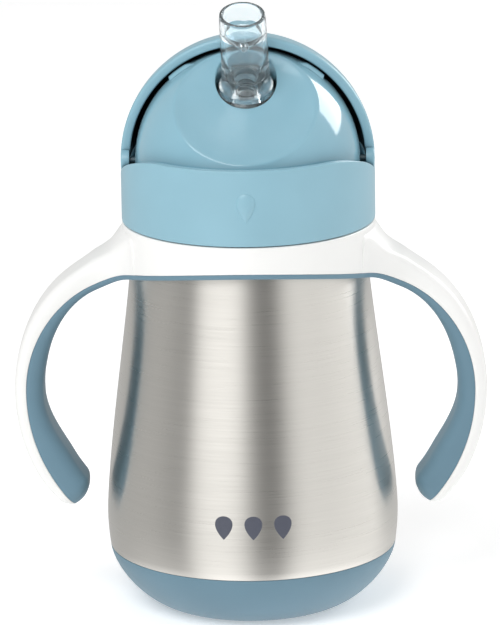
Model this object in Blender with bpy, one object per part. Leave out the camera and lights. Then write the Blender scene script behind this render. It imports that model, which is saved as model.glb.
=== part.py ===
"""Sippy cup: a double-wall steel vessel with handles, and a screw lid with a folding mouthpiece.

The cup stands on z = 0 with its axis on +Z. The mouthpiece leans to -Y, which is the front,
and the handles reach out along X. Lengths are given in millimetres times MM.
"""

import math

import bmesh
import bpy
from mathutils import Matrix, Vector

MM = 0.001
GAP = 0.3 * MM                 # clearance between pieces that touch on the real cup

# Silhouette of boot and shell
BODY_TOP_Z = 101.0 * MM        # shoulder that the handle ring sits on
BODY_BULGE_RADIUS = 40.55 * MM
BODY_BULGE_Z = 25.5 * MM
BODY_SHOULDER_RADIUS = 32.4 * MM
SEAM_Z = 16.2 * MM             # where boot and steel meet
SEAM_RADIUS = 39.9 * MM
FOOT_RADIUS = 24.8 * MM        # flat ring that the cup stands on
FOOT_ROUNDNESS = 1.5           # exponent of the superellipse between foot and seam
BOOT_WALL = 2.0 * MM

# Double wall
STEEL = 0.8 * MM
VACUUM_GAP = 3.6 * MM
LINER_FLOOR_Z = 9.4 * MM
NECK_RADIUS = 29.6 * MM
LIP_Z = 118.0 * MM             # top of the rolled drinking lip, under the gasket

# Screw thread of the lid
THREAD_PITCH = 4.0 * MM
THREAD_TURNS = 1.5
THREAD_RIDGE = 1.4 * MM        # axial thickness of a ridge at its root
MALE_CREST_RADIUS = 31.0 * MM
MALE_START_Z = 109.8 * MM
FEMALE_ROOT_RADIUS = 31.7 * MM
FEMALE_CREST_RADIUS = 30.2 * MM
FEMALE_START_Z = MALE_START_Z + THREAD_PITCH / 2    # its ridges lie midway between the others

# Lid
COLLAR_RADIUS = 35.0 * MM
COLLAR_BOTTOM_Z = 109.1 * MM
COLLAR_LIP_Z = 130.1 * MM      # highest edge, at front and back
COLLAR_DIP = 8.2 * MM          # how far the edge dips towards the cover's pivots
COLLAR_DIP_REACH = 26.0 * MM
COLLAR_LIP_INNER_RADIUS = 32.6 * MM
DECK_Z = 120.2 * MM            # underside of the collar's inner deck
DECK_THICKNESS = 1.8 * MM
DECK_INNER_RADIUS = 24.0 * MM

PIVOT_Z = 125.4 * MM           # centre of the dome and of the cover's pivots
DOME_RADIUS = 31.0 * MM
DOME_WALL = 2.0 * MM
DISH_ELEVATION = math.radians(49.3)
DISH_RIM_RADIUS = 19.5 * MM
DISH_RIM_DISTANCE = 24.1 * MM  # from the dome's centre to the plane of the rim
DISH_DEPTH = 2.4 * MM          # below the plane of the rim
PAD_HEIGHT = 0.9 * MM          # small stops on top of the dome
PAD_ANGLES = (math.radians(27.0), math.radians(43.0))
PAD_HALF_WIDTH = 3.0 * MM

COVER_RADIUS = 35.0 * MM
COVER_WALL = 2.6 * MM
COVER_OPEN_ANGLE = math.radians(86.5)    # front rim, up from the front horizon
COVER_SPAN = math.radians(82.0)
PIVOT_BOSS_RADIUS = 3.0 * MM
PIVOT_STUD_RADIUS = 1.6 * MM

# Mouthpiece and straw; its own frame has its origin in the dish and +Z along the tube
MOUTH_TILT = math.radians(22.0)
MOUTH_BASE = Vector((0.0, -6.8 * MM, 149.2 * MM))
MOUTH_LENGTH = 21.5 * MM
MOUTH_TIP_RADIUS = 6.4 * MM
MOUTH_ROOT_RADIUS = 6.6 * MM
MOUTH_WALL = 0.9 * MM
MOUTH_CAVITY_DEPTH = 11.7 * MM
VALVE_RISE = 6.2 * MM          # the slit valve is a cone that points down
BELL_RADIUS = 7.5 * MM         # the tube widens to this where it meets its flange
FOLD_HEIGHT = -1.2 * MM        # where the moulding is divided for the fold
FOLD_PIVOT_FORWARD = 3.0 * MM
WELL_RADIUS = 8.35 * MM
WELL_BOSS_TOP = 3.4 * MM       # ends inside the wall of the dome
WELL_FLOOR = -6.2 * MM
WELL_FLOOR_THICKNESS = 1.8 * MM
SPIGOT_RADIUS = 5.3 * MM

STRAW_TOP_Z = 127.0 * MM
STRAW_SWING_Z = 119.0 * MM
STRAW_BOTTOM_Z = 19.0 * MM
STRAW_RADIUS = 4.3 * MM
STRAW_BORE_RADIUS = 3.3 * MM
ADAPTOR_RADIUS = 3.0 * MM
ADAPTOR_BORE_RADIUS = 2.1 * MM
WEIGHT_RADIUS = 7.0 * MM
WEIGHT_Z = (16.0 * MM, 29.0 * MM)
INLET_BOTTOM_Z = 12.4 * MM

# Handles
RING_TOP_Z = COLLAR_BOTTOM_Z - GAP
RING_INNER_RADIUS = 31.5 * MM
SKIRT_INNER_RADIUS = 33.5 * MM
SPLIT_SIDE_Z = 94.0 * MM       # white and blue meet here at the sides
SPLIT_FRONT_RISE = 7.4 * MM    # and this much higher at front and back
RING_GRIP_HEIGHT = 1.4 * MM
ARM_WIDTH = 15.5 * MM
ARM_FLARE = 2.8 * MM           # extra width where an arm grows out of the ring
ARM_REACH_X = 62.2 * MM
ARM_REACH_Z = 61.0 * MM
ARM_END = (49.0 * MM, 27.9 * MM)
ARM_ROOT_X = 33.75 * MM        # the arms start inside the ring's wall
TIP_ROUND = 4.85 * MM          # both colours end in one round tip of this radius
TIP_WHITE_END = 0.75 * MM      # the white layer stops this far before the tip

SEGMENTS = 32
FINE_SEGMENTS = 16

BLUE_LID = (0.36, 0.53, 0.61)
BLUE_GRIP = (0.21, 0.35, 0.43)
WHITE = (0.86, 0.85, 0.83)
STEEL_COLOUR = (0.56, 0.54, 0.51)
CLEAR = (0.86, 0.90, 0.92)
MILKY = (0.80, 0.82, 0.82)


# ---------------------------------------------------------------- tools

def clear_scene():
    for item in list(bpy.data.objects):
        bpy.data.objects.remove(item, do_unlink=True)


def material(name, colour, roughness, metallic=0.0, alpha=1.0):
    made = bpy.data.materials.new(name)
    made.use_nodes = True
    shader = made.node_tree.nodes["Principled BSDF"]
    shader.inputs["Base Color"].default_value = (*colour, 1.0)
    shader.inputs["Roughness"].default_value = roughness
    shader.inputs["Metallic"].default_value = metallic
    shader.inputs["Alpha"].default_value = alpha
    return made


def new_object(name, mesh_data, surface=None):
    """Turn a bmesh into a smooth-shaded object."""
    bmesh.ops.recalc_face_normals(mesh_data, faces=mesh_data.faces)
    mesh = bpy.data.meshes.new(name)
    mesh_data.to_mesh(mesh)
    mesh_data.free()
    mesh.shade_smooth()
    mesh.set_sharp_from_angle(angle=math.radians(35.0))
    made = bpy.data.objects.new(name, mesh)
    bpy.context.collection.objects.link(made)
    if surface:
        mesh.materials.append(surface)
    return made


def lathe(outline, segments=SEGMENTS, transform=None):
    """Spin a closed outline of (radius, height) points a full turn about +Z."""
    turned = bmesh.new()
    corners = [turned.verts.new((radius, 0.0, height)) for radius, height in outline]
    edges = [turned.edges.new((corners[i - 1], corners[i])) for i in range(len(corners))]
    bmesh.ops.spin(
        turned, geom=corners + edges, cent=(0, 0, 0), axis=(0, 0, 1),
        angle=math.tau, steps=segments, use_merge=True,
    )
    bmesh.ops.remove_doubles(turned, verts=turned.verts, dist=1e-6)
    if transform:
        turned.transform(transform)
    return turned


def loft(sections, closed=False):
    """Join equal rings of points; the ends are capped unless the loft closes on itself."""
    skin = bmesh.new()
    rings = [[skin.verts.new(point) for point in section] for section in sections]
    count = len(rings[0])
    pairs = list(zip(rings, rings[1:]))
    if closed:
        pairs.append((rings[-1], rings[0]))
    for ring, following in pairs:
        for i in range(count):
            skin.faces.new((ring[i - 1], ring[i], following[i], following[i - 1]))
    if not closed:
        skin.faces.new(rings[0])
        skin.faces.new(rings[-1])
    return skin


def boolean(target, other, operation):
    """Cut or join with a helper object, which stays in the file as a hidden wire."""
    step = target.modifiers.new(other.name, "BOOLEAN")
    step.operation = operation
    step.solver = "EXACT"
    step.object = other
    other.hide_render = True
    other.display_type = "WIRE"


def cut(target, name, mesh_data):
    boolean(target, new_object(name, mesh_data), "DIFFERENCE")


def join(target, name, mesh_data):
    boolean(target, new_object(name, mesh_data), "UNION")


def smoothstep(low, high, value):
    share = min(max((value - low) / (high - low), 0.0), 1.0)
    return share * share * (3.0 - 2.0 * share)


def arc(centre, radius, start, end, steps):
    """Points of an arc in degrees, in an outline's (radius, height) plane."""
    angles = [math.radians(start + (end - start) * i / steps) for i in range(steps + 1)]
    return [(centre[0] + radius * math.cos(a), centre[1] + radius * math.sin(a)) for a in angles]


def move_origin(item, point):
    """Put an object's origin on its joint without moving its shape."""
    item.data.transform(Matrix.Translation(-Vector(point)))
    item.location = point


# ---------------------------------------------------------------- vessel

def foot_radius(height):
    """Outer radius of the boot, a superellipse from the flat foot up to the seam."""
    share = 1.0 - height / SEAM_Z
    bulge = (1.0 - share ** FOOT_ROUNDNESS) ** (1.0 / FOOT_ROUNDNESS)
    return FOOT_RADIUS + (SEAM_RADIUS - FOOT_RADIUS) * bulge


def body_radius(height):
    """Outer radius of the steel wall: a bulge above the seam that narrows to the shoulder."""
    if height < BODY_BULGE_Z:
        share = (BODY_BULGE_Z - height) / (BODY_BULGE_Z - SEAM_Z)
        return BODY_BULGE_RADIUS - (BODY_BULGE_RADIUS - SEAM_RADIUS) * share ** 2
    share = (height - BODY_BULGE_Z) / (BODY_TOP_Z - BODY_BULGE_Z)
    fall = BODY_BULGE_RADIUS - BODY_SHOULDER_RADIUS
    return BODY_BULGE_RADIUS - fall * (1.30 * share ** 1.42 - 0.30 * share ** 3.4)


def spaced(low, high, steps):
    return [low + (high - low) * i / steps for i in range(steps + 1)]


def foot_outline(inset, steps):
    """The boot's outline moved inwards, from its floor up to just below the seam."""
    heights = [SEAM_Z * (i / steps) ** 2 for i in range(steps + 1)]
    points = []
    for height in heights:
        step = 0.05 * MM
        low = max(height - step, 0.0)
        high = min(height + step, SEAM_Z)
        slope = Vector((foot_radius(high) - foot_radius(low), high - low)).normalized()
        points.append((foot_radius(height) - slope.y * inset, height + slope.x * inset))
    return [p for p in points if p[1] <= SEAM_Z]


def base_boot(surface):
    outer = foot_outline(0.0, 5)
    inner = [(radius, max(height, BOOT_WALL)) for radius, height in foot_outline(BOOT_WALL, 5)]
    inner = [p for p in inner if p[1] < SEAM_Z - MM]
    rim = [(SEAM_RADIUS - BOOT_WALL, SEAM_Z - GAP)]
    outer[-1] = (SEAM_RADIUS, SEAM_Z - GAP)
    outline = [(0.0, 0.0)] + outer + rim + inner[::-1] + [(0.0, BOOT_WALL)]
    return new_object("base_boot", lathe(outline), surface)


def outer_shell(surface):
    inset = BOOT_WALL + GAP
    foot = [p for p in foot_outline(inset, 5) if p[0] > 25.0 * MM and p[1] < SEAM_Z - MM]
    wall_heights = spaced(SEAM_Z, BODY_TOP_Z - 1.6 * MM, 6)
    wall = [(body_radius(z), z) for z in wall_heights]
    shoulder = arc((body_radius(BODY_TOP_Z) - 1.5 * MM, BODY_TOP_Z - 1.5 * MM), 1.5 * MM, 10, 90, 2)
    neck_top = LIP_Z - STEEL - GAP
    seam = SEAM_RADIUS - inset
    outer = [(21.0 * MM, inset)] + foot
    outer += [(seam, SEAM_Z)] + wall + shoulder + [(NECK_RADIUS, BODY_TOP_Z)]
    inner = [(NECK_RADIUS - STEEL, neck_top), (NECK_RADIUS - STEEL, BODY_TOP_Z - STEEL)]
    inner += [(r - STEEL, z) for r, z in reversed(wall) if z > SEAM_Z + STEEL]
    inner += [(SEAM_RADIUS - STEEL, SEAM_Z + STEEL), (seam - STEEL, SEAM_Z + STEEL)]
    inner += [(r - STEEL, z + STEEL * 0.5) for r, z in reversed(foot)]
    inner += [(21.0 * MM, inset + STEEL)]
    outline = outer + [(NECK_RADIUS, neck_top)] + inner
    shell = new_object("outer_shell", lathe(outline), surface)
    join(shell, "male_thread", thread(MALE_CREST_RADIUS, NECK_RADIUS - 0.3 * MM, MALE_START_Z))
    return shell


def thread(crest, root, start):
    """A helical ridge whose ends fade into the wall."""
    steps = 24
    count = int(steps * THREAD_TURNS)
    sections = []
    for i in range(count + 1):
        angle = math.tau * i / steps
        fade = min(1.0, (min(i, count - i) + 0.2) / 3.0)
        tip = root + (crest - root) * fade
        z = start + THREAD_PITCH * i / steps
        half = THREAD_RIDGE / 2
        profile = [(root, z - half), (tip, z - half * 0.5), (tip, z + half * 0.5), (root, z + half)]
        sections.append([Vector((r * math.cos(angle), r * math.sin(angle), h)) for r, h in profile])
    return loft(sections)


def inner_vessel(surface):
    """The liner, with a rolled lip that caps the neck of the outer wall."""
    inset = STEEL + VACUUM_GAP
    neck = NECK_RADIUS - STEEL - 0.4 * MM
    corner_radius = 9.0 * MM
    floor_radius = body_radius(SEAM_Z) - inset - corner_radius - 1.2 * MM
    corner_centre = (floor_radius, LINER_FLOOR_Z + corner_radius)
    wall = [(body_radius(z) - inset, z) for z in spaced(22.0 * MM, BODY_TOP_Z - 9 * MM, 5)]
    outer = [(0.0, LINER_FLOOR_Z)] + arc(corner_centre, corner_radius, -90, -10, 3) + wall
    outer += [(neck, BODY_TOP_Z - 3.0 * MM), (neck, LIP_Z - STEEL)]
    lip = [(NECK_RADIUS, LIP_Z - STEEL), (NECK_RADIUS, LIP_Z), (neck - STEEL, LIP_Z)]
    inner = [(neck - STEEL, BODY_TOP_Z - 3.0 * MM - STEEL * 0.3)]
    inner += [(r - STEEL, z) for r, z in reversed(wall)]
    inner += arc(corner_centre, corner_radius - STEEL, -10, -90, 3) + [(0.0, LINER_FLOOR_Z + STEEL)]
    return new_object("inner_vessel", lathe(outer + lip + inner), surface)


def shell_bottom(surface):
    """Disc welded inside the outer wall, with the dimple through which the air is drawn out."""
    low = BOOT_WALL + GAP + STEEL + GAP
    outline = [
        (2.0 * MM, low + 1.2 * MM), (4.0 * MM, low + 1.2 * MM), (6.0 * MM, low),
        (24.8 * MM, low), (24.8 * MM, low + STEEL), (6.4 * MM, low + STEEL),
        (4.4 * MM, low + 2.0 * MM), (2.0 * MM, low + 2.0 * MM),
    ]
    return new_object("shell_bottom", lathe(outline, 32), surface)


def vacuum_plug(surface):
    low = BOOT_WALL + GAP + STEEL + GAP
    top = low + 1.2 * MM - GAP
    outline = [(0.0, top - 0.9 * MM), (3.0 * MM, top - 0.9 * MM), (3.4 * MM, top - 0.4 * MM),
               (3.4 * MM, top), (0.0, top)]
    return new_object("vacuum_plug", lathe(outline, FINE_SEGMENTS), surface)


# ---------------------------------------------------------------- handles

def bezier(points, share):
    a, b, c, d = (Vector(p) for p in points)
    rest = 1.0 - share
    return a * rest ** 3 + b * 3 * rest ** 2 * share + c * 3 * rest * share ** 2 + d * share ** 3


def arm_path(steps):
    """Where white and blue meet along one arm, as (x, z) points of two Bezier curves."""
    reach = (ARM_REACH_X, ARM_REACH_Z)
    upper = [(ARM_ROOT_X, SPLIT_SIDE_Z), (ARM_ROOT_X + 13.5 * MM, SPLIT_SIDE_Z),
             (ARM_REACH_X, ARM_REACH_Z + 19.0 * MM), reach]
    lower = [reach, (ARM_REACH_X, ARM_REACH_Z - 15.0 * MM),
             (ARM_END[0] + 6.6 * MM, ARM_END[1] + 7.0 * MM), ARM_END]
    first = [bezier(upper, i / steps) for i in range(steps)]
    return first + [bezier(lower, i / steps) for i in range(steps + 1)]


def arm_runs(end, steps):
    """Lengths along the arm where its sections stand, closer together in the round tip."""
    straight = spaced(0.0, end - TIP_ROUND, steps)
    turns = (20, 40, 58, 72, 83)
    return straight + [end - TIP_ROUND * (1.0 - math.sin(math.radians(turn))) for turn in turns]


def arm_frames(steps):
    """Sections of the arm: point on its path, outward normal, length run and length left."""
    path = arm_path(60)
    lengths = [0.0]
    for point, following in zip(path, path[1:]):
        lengths.append(lengths[-1] + (following - point).length)
    end = lengths[-1]
    frames = []
    for run in arm_runs(end, steps):
        i = max(k for k, length in enumerate(lengths[:-1]) if length <= run)
        share = (run - lengths[i]) / (lengths[i + 1] - lengths[i])
        tangent = (path[i + 1] - path[i]).normalized()
        if run == 0.0:
            tangent = Vector((1.0, 0.0))
        frames.append((path[i].lerp(path[i + 1], share), Vector((-tangent.y, tangent.x)), run, end - run))
    return frames


def tip_shrink(left):
    """Share of the full thickness that is left at this distance from the tip."""
    past = max(0.0, 1.0 - left / TIP_ROUND)
    return math.sqrt(1.0 - past ** 2)


def arm_half_width(run, left):
    width = ARM_WIDTH / 2 + ARM_FLARE / 2 * math.exp(-((run / (3.0 * MM)) ** 1.3))
    return width * (0.4 + 0.6 * tip_shrink(left))


def white_thickness(run, left):
    root = 10.8 * MM * math.exp(-((run / (4.2 * MM)) ** 1.3))
    shoulder = 1.9 * MM * smoothstep(3.5 * MM, 9.5 * MM, run) * (1.0 - smoothstep(10 * MM, 44 * MM, run))
    return 3.3 * MM + root + shoulder - 0.85 * MM * (1.0 - smoothstep(0.0, 14 * MM, left))


def blue_thickness(run):
    grow = 2.8 * MM * smoothstep(10 * MM, 42 * MM, run) + 2.6 * MM * smoothstep(50 * MM, 72 * MM, run)
    return 1.25 * MM + 0.65 * MM * smoothstep(0.0, 8 * MM, run) + grow


def arm_faces(run, left):
    """Outer and inner face of the whole arm, measured inwards from the path between the colours."""
    outer = -white_thickness(run, left)
    inner = blue_thickness(run)
    middle = (outer + inner) / 2
    half = (inner - outer) / 2 * tip_shrink(left)
    return middle - half, middle + half


def root_clearance(run):
    """Extra gap between the colours where the arms leave the ring."""
    return 0.4 * MM * math.exp(-((run / (4.0 * MM)) ** 2))


def arm_section(frame, side, near, far, corner):
    """A bar's cross-section: square on the side where the colours meet, rounded on the far side."""
    point, normal, run, left = frame
    half_width = arm_half_width(run, left)
    away = math.copysign(1.0, far - near)
    corner = min(corner, abs(far - near) * 0.8)
    turn = [math.radians(angle) for angle in (0, 45, 90)]
    rounded = [(half_width - corner + corner * math.cos(a),
                far - away * (corner - corner * math.sin(a))) for a in turn]
    across = (0.6, 0.3, 0.0, -0.3, -0.6)
    outline = [(half_width, near)] + rounded
    crown = [((half_width - corner) * share, far) for share in across]
    outline += crown + [(-y, n) for y, n in reversed(outline)]
    outline += [(-half_width * share, near) for share in across]
    bend = math.exp(-((run / (3.0 * MM)) ** 2))
    section = []
    for y, n in outline:
        lift = bend * SPLIT_FRONT_RISE * (abs(y) / COLLAR_RADIUS) ** 1.3
        if far > near and n != near:
            lift *= (far - n) / (far - near)
        x = point.x + normal.x * n
        section.append(Vector((side * x, y, point.y + normal.y * n + lift)))
    return section


def white_arm(side):
    sections = []
    for frame in arm_frames(16):
        run, left = frame[2:]
        outer, _ = arm_faces(run, left)
        near = GAP / 2 + root_clearance(run)
        if left > TIP_WHITE_END:
            far = max(-outer - 0.2 * MM, near + 0.3 * MM)
            sections.append(arm_section(frame, side, near, far, 2.4 * MM))
    return loft(sections)


def blue_arm(side):
    sections = []
    for frame in arm_frames(16):
        run, left = frame[2:]
        outer, inner = arm_faces(run, left)
        near = max(GAP / 2 + root_clearance(run), outer)
        sections.append(arm_section(frame, side, -near, -inner, 3.4 * MM))
    return loft(sections)


def split_height(angle):
    """Height of the line between white and blue round the ring; angle 0 is the front."""
    return SPLIT_SIDE_Z + SPLIT_FRONT_RISE * abs(math.cos(angle)) ** 1.3


def ring(section_at, steps=40):
    sections = []
    for i in range(steps):
        angle = math.tau * i / steps
        across, forward = math.sin(angle), -math.cos(angle)
        sections.append([Vector((r * across, r * forward, z)) for r, z in section_at(angle)])
    return loft(sections, closed=True)


def handle_frame(surface):
    seat_z = BODY_TOP_Z + GAP

    def section(angle):
        low = split_height(angle) + 0.15 * MM
        return [
            (COLLAR_RADIUS - 0.6 * MM, RING_TOP_Z), (COLLAR_RADIUS, RING_TOP_Z - 0.6 * MM),
            (COLLAR_RADIUS, low), (SKIRT_INNER_RADIUS, low), (SKIRT_INNER_RADIUS, seat_z),
            (RING_INNER_RADIUS, seat_z), (RING_INNER_RADIUS, RING_TOP_Z),
        ]

    frame = new_object("handle_frame", ring(section), surface)
    join(frame, "white_arm_right", white_arm(1))
    join(frame, "white_arm_left", white_arm(-1))
    return frame


def handle_grip(surface):
    def section(angle):
        top = split_height(angle) - 0.15 * MM
        low = split_height(angle) - RING_GRIP_HEIGHT
        return [(COLLAR_RADIUS, top), (COLLAR_RADIUS, low), (SKIRT_INNER_RADIUS, low),
                (SKIRT_INNER_RADIUS, top)]

    grip = new_object("handle_grip", ring(section), surface)
    join(grip, "blue_arm_right", blue_arm(1))
    join(grip, "blue_arm_left", blue_arm(-1))
    return grip


# ---------------------------------------------------------------- lid

def collar_edge_height(depth):
    """Top edge of the collar, which dips at the sides to make room for the pivots."""
    share = max(0.0, 1.0 - abs(depth) / COLLAR_DIP_REACH)
    return COLLAR_LIP_Z - COLLAR_DIP * share ** 1.5


def lid_collar(surface):
    deck_top = DECK_Z + DECK_THICKNESS

    def section(angle):
        edge = collar_edge_height(COLLAR_RADIUS * math.cos(angle))
        inner_edge = max(edge, deck_top + 0.05 * MM)
        return [
            (COLLAR_RADIUS, COLLAR_BOTTOM_Z), (COLLAR_RADIUS, edge),
            (COLLAR_LIP_INNER_RADIUS, inner_edge), (COLLAR_LIP_INNER_RADIUS, deck_top),
            (DECK_INNER_RADIUS, deck_top), (DECK_INNER_RADIUS, DECK_Z),
            (FEMALE_ROOT_RADIUS, DECK_Z), (FEMALE_ROOT_RADIUS, COLLAR_BOTTOM_Z),
        ]

    collar = new_object("lid_collar", ring(section), surface)
    join(collar, "female_thread",
         thread(FEMALE_CREST_RADIUS, FEMALE_ROOT_RADIUS + 0.3 * MM, FEMALE_START_Z))
    return collar


def lid_seal(surface):
    low, high = LIP_Z + GAP, DECK_Z - GAP
    inner, outer = NECK_RADIUS - 2.2 * MM, NECK_RADIUS + 0.6 * MM
    bevel = 0.4 * MM
    outline = [(inner + bevel, low), (outer - bevel, low), (outer, low + bevel), (outer, high),
               (inner, high), (inner, low + bevel)]
    return new_object("lid_seal", lathe(outline, 32), surface)


def dish_outline(depth_offset, rim_offset):
    """A bowl-shaped cutter about its own axis, measured from the dome's centre."""
    rim = DISH_RIM_RADIUS + rim_offset
    floor = DISH_RIM_DISTANCE - depth_offset
    shares = spaced(0.0, 1.0, 4)
    bowl = [(rim * s, floor - DISH_DEPTH * (1.0 - s ** 3)) for s in shares]
    return bowl + [(rim + 6.0 * MM, floor + 4.0 * MM), (rim + 6.0 * MM, 40 * MM), (0.0, 40 * MM)]


def aimed(centre, elevation):
    """Frame at centre whose +Z points to the front, raised by the elevation."""
    return Matrix.Translation(centre) @ Matrix.Rotation(math.pi / 2 - elevation, 4, "X")


def mouth_frame():
    return Matrix.Translation(MOUTH_BASE) @ Matrix.Rotation(MOUTH_TILT, 4, "X")


def cylinder(radius, low, high, transform, segments=FINE_SEGMENTS):
    outline = [(0.0, low), (radius, low), (radius, high), (0.0, high)]
    return lathe(outline, segments, transform)


def lid_dome(surface):
    centre = Vector((0.0, 0.0, PIVOT_Z))
    low = DECK_Z + DECK_THICKNESS + GAP
    start = math.degrees(math.asin((low - PIVOT_Z) / DOME_RADIUS))
    outer = [(0.0, low)] + arc((0.0, PIVOT_Z), DOME_RADIUS, start, 90, 8)
    outer[-1] = (0.0, PIVOT_Z + DOME_RADIUS)
    dome = new_object("lid_dome", lathe(outer), surface)

    inner_radius = DOME_RADIUS - DOME_WALL
    inner_start = math.degrees(math.asin((low - MM - PIVOT_Z) / inner_radius))
    inner = [(0.0, low - MM)] + arc((0.0, PIVOT_Z), inner_radius, inner_start, 90, 6)
    inner[-1] = (0.0, PIVOT_Z + inner_radius)
    cavity = new_object("dome_cavity", lathe(inner, 28))
    cut(cavity, "dish_skin", lathe(dish_outline(DOME_WALL, 1.2 * MM), 36, aimed(centre, DISH_ELEVATION)))
    boolean(dome, cavity, "DIFFERENCE")

    boss_low = WELL_FLOOR - WELL_FLOOR_THICKNESS
    join(dome, "well_boss", cylinder(WELL_RADIUS + 1.6 * MM, boss_low, WELL_BOSS_TOP, mouth_frame(), 20))
    cut(dome, "dish", lathe(dish_outline(0.0, 0.0), 32, aimed(centre, DISH_ELEVATION)))
    cut(dome, "well", cylinder(WELL_RADIUS, WELL_FLOOR, 20 * MM, mouth_frame(), 20))
    cut(dome, "well_bore", cylinder(SPIGOT_RADIUS + GAP, boss_low - MM, 0.0, mouth_frame()))
    for side in (-1, 1):
        join(dome, f"pad_{side}", pad(side))
        across = Matrix.Translation(centre) @ Matrix.Rotation(side * math.pi / 2, 4, "Y")
        hole = cylinder(PIVOT_STUD_RADIUS + GAP, 26 * MM, 33 * MM, across, 16)
        cut(dome, f"pivot_hole_{side}", hole)
    cut(dome, "vent_hole", cylinder(2.0 * MM, 26 * MM, 33 * MM, vent_frame(), 16))
    return dome


def pad(side):
    """One of the two stops that stand up beside the top of the dome."""
    radii = (DOME_RADIUS - 0.6 * MM, DOME_RADIUS + PAD_HEIGHT)
    sections = []
    for angle in spaced(*PAD_ANGLES, 4):
        x, z = side * math.sin(angle), math.cos(angle)
        corners = []
        for radius, y in ((radii[0], -1), (radii[1], -1), (radii[1], 1), (radii[0], 1)):
            corners.append(Vector((x * radius, y * PAD_HALF_WIDTH, PIVOT_Z + z * radius)))
        sections.append(corners)
    return loft(sections)


def vent_frame():
    return aimed(Vector((0.0, 0.0, PIVOT_Z)), math.radians(128.0))


def vent_valve(surface):
    """Umbrella valve: the head lies against the inside of the dome."""
    inside = DOME_RADIUS - DOME_WALL - 0.6 * MM
    outline = [(0.0, inside - 1.0 * MM), (3.0 * MM, inside - 1.0 * MM), (4.0 * MM, inside - 0.4 * MM),
               (4.0 * MM, inside), (1.6 * MM, inside), (1.6 * MM, DOME_RADIUS + 0.2 * MM),
               (0.0, DOME_RADIUS + 0.6 * MM)]
    return new_object("vent_valve", lathe(outline, 20, vent_frame()), surface)


def rotating_cover(surface):
    """A slice of a hollow ball about the pivot axis, with a boss and a stud at each pole."""
    inner_radius = COVER_RADIUS - COVER_WALL
    columns = 18
    rows = 6
    limit = math.asin(0.8 * PIVOT_BOSS_RADIUS / COVER_RADIUS)
    polar = spaced(limit, math.pi - limit, columns)
    sections = []
    for i in range(rows + 1):
        lift = COVER_OPEN_ANGLE + COVER_SPAN * i / rows
        away = Vector((0.0, -math.cos(lift), math.sin(lift)))
        outer = [Vector((math.cos(p), 0, 0)) * COVER_RADIUS + away * math.sin(p) * COVER_RADIUS
                 for p in polar]
        inner = [Vector((math.cos(p), 0, 0)) * inner_radius + away * math.sin(p) * inner_radius
                 for p in reversed(polar)]
        sections.append(outer + inner)
    cover = new_object("rotating_cover", loft(sections), surface)
    face = math.sqrt(COVER_RADIUS ** 2 - PIVOT_BOSS_RADIUS ** 2)
    for side in (-1, 1):
        across = Matrix.Rotation(side * math.pi / 2, 4, "Y")
        boss = [(0.0, inner_radius - 2.8 * MM), (PIVOT_STUD_RADIUS, inner_radius - 2.8 * MM),
                (PIVOT_STUD_RADIUS, inner_radius - 0.4 * MM),
                (PIVOT_BOSS_RADIUS, inner_radius - 0.4 * MM), (PIVOT_BOSS_RADIUS, face),
                (0.0, COVER_RADIUS - 0.02 * MM)]
        helper = new_object(f"pivot_{side}", lathe(boss, FINE_SEGMENTS, across))
        helper.parent = cover
        boolean(cover, helper, "UNION")
    cover.location = (0.0, 0.0, PIVOT_Z)
    return cover


# ---------------------------------------------------------------- mouthpiece and straw

def mouthpiece_base(surface):
    """Flange that seats in the dome's well, the spigot under it and the stub of the tube."""
    low = WELL_FLOOR - WELL_FLOOR_THICKNESS - 3.2 * MM
    seat = WELL_FLOOR + GAP
    flange_top = seat + 1.8 * MM
    flange = WELL_RADIUS - 0.4 * MM
    fold = FOLD_HEIGHT - GAP / 2
    outline = [
        (ADAPTOR_RADIUS + 1.0 * MM, low), (SPIGOT_RADIUS, low), (SPIGOT_RADIUS, seat),
        (flange, seat), (flange, flange_top - 0.5 * MM), (flange - 0.5 * MM, flange_top),
        (BELL_RADIUS, flange_top), (BELL_RADIUS, fold), (MOUTH_ROOT_RADIUS - 1.6 * MM, fold),
        (ADAPTOR_RADIUS + 1.0 * MM, flange_top),
    ]
    return new_object("mouthpiece_base", lathe(outline, 24, mouth_frame()), surface)


def mouthpiece_tube(surface):
    """The folding drinking tube; a thin floor closes the mouth cavity where the slit valve is."""
    bore_top = MOUTH_TIP_RADIUS - MOUTH_WALL
    bore_root = MOUTH_ROOT_RADIUS - 1.6 * MM
    membrane = MOUTH_LENGTH - MOUTH_CAVITY_DEPTH
    fold = FOLD_HEIGHT + GAP / 2
    outline = [
        (BELL_RADIUS, fold), (BELL_RADIUS - 0.5 * MM, fold + 1.1 * MM),
        (MOUTH_ROOT_RADIUS, fold + 2.4 * MM), (MOUTH_TIP_RADIUS, MOUTH_LENGTH - 0.4 * MM),
        (MOUTH_TIP_RADIUS - 0.45 * MM, MOUTH_LENGTH), (bore_top, MOUTH_LENGTH - 0.4 * MM),
        (bore_top - 0.3 * MM, membrane + VALVE_RISE), (0.0, membrane), (0.0, membrane - 0.8 * MM),
        (bore_top - 1.4 * MM, membrane + VALVE_RISE * 0.62), (bore_root, fold),
    ]
    tube = new_object("mouthpiece_tube", lathe(outline, 24, mouth_frame()), surface)
    forward = Vector((0.0, -math.cos(MOUTH_TILT), -math.sin(MOUTH_TILT)))
    move_origin(tube, MOUTH_BASE + forward * FOLD_PIVOT_FORWARD)
    return tube


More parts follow.
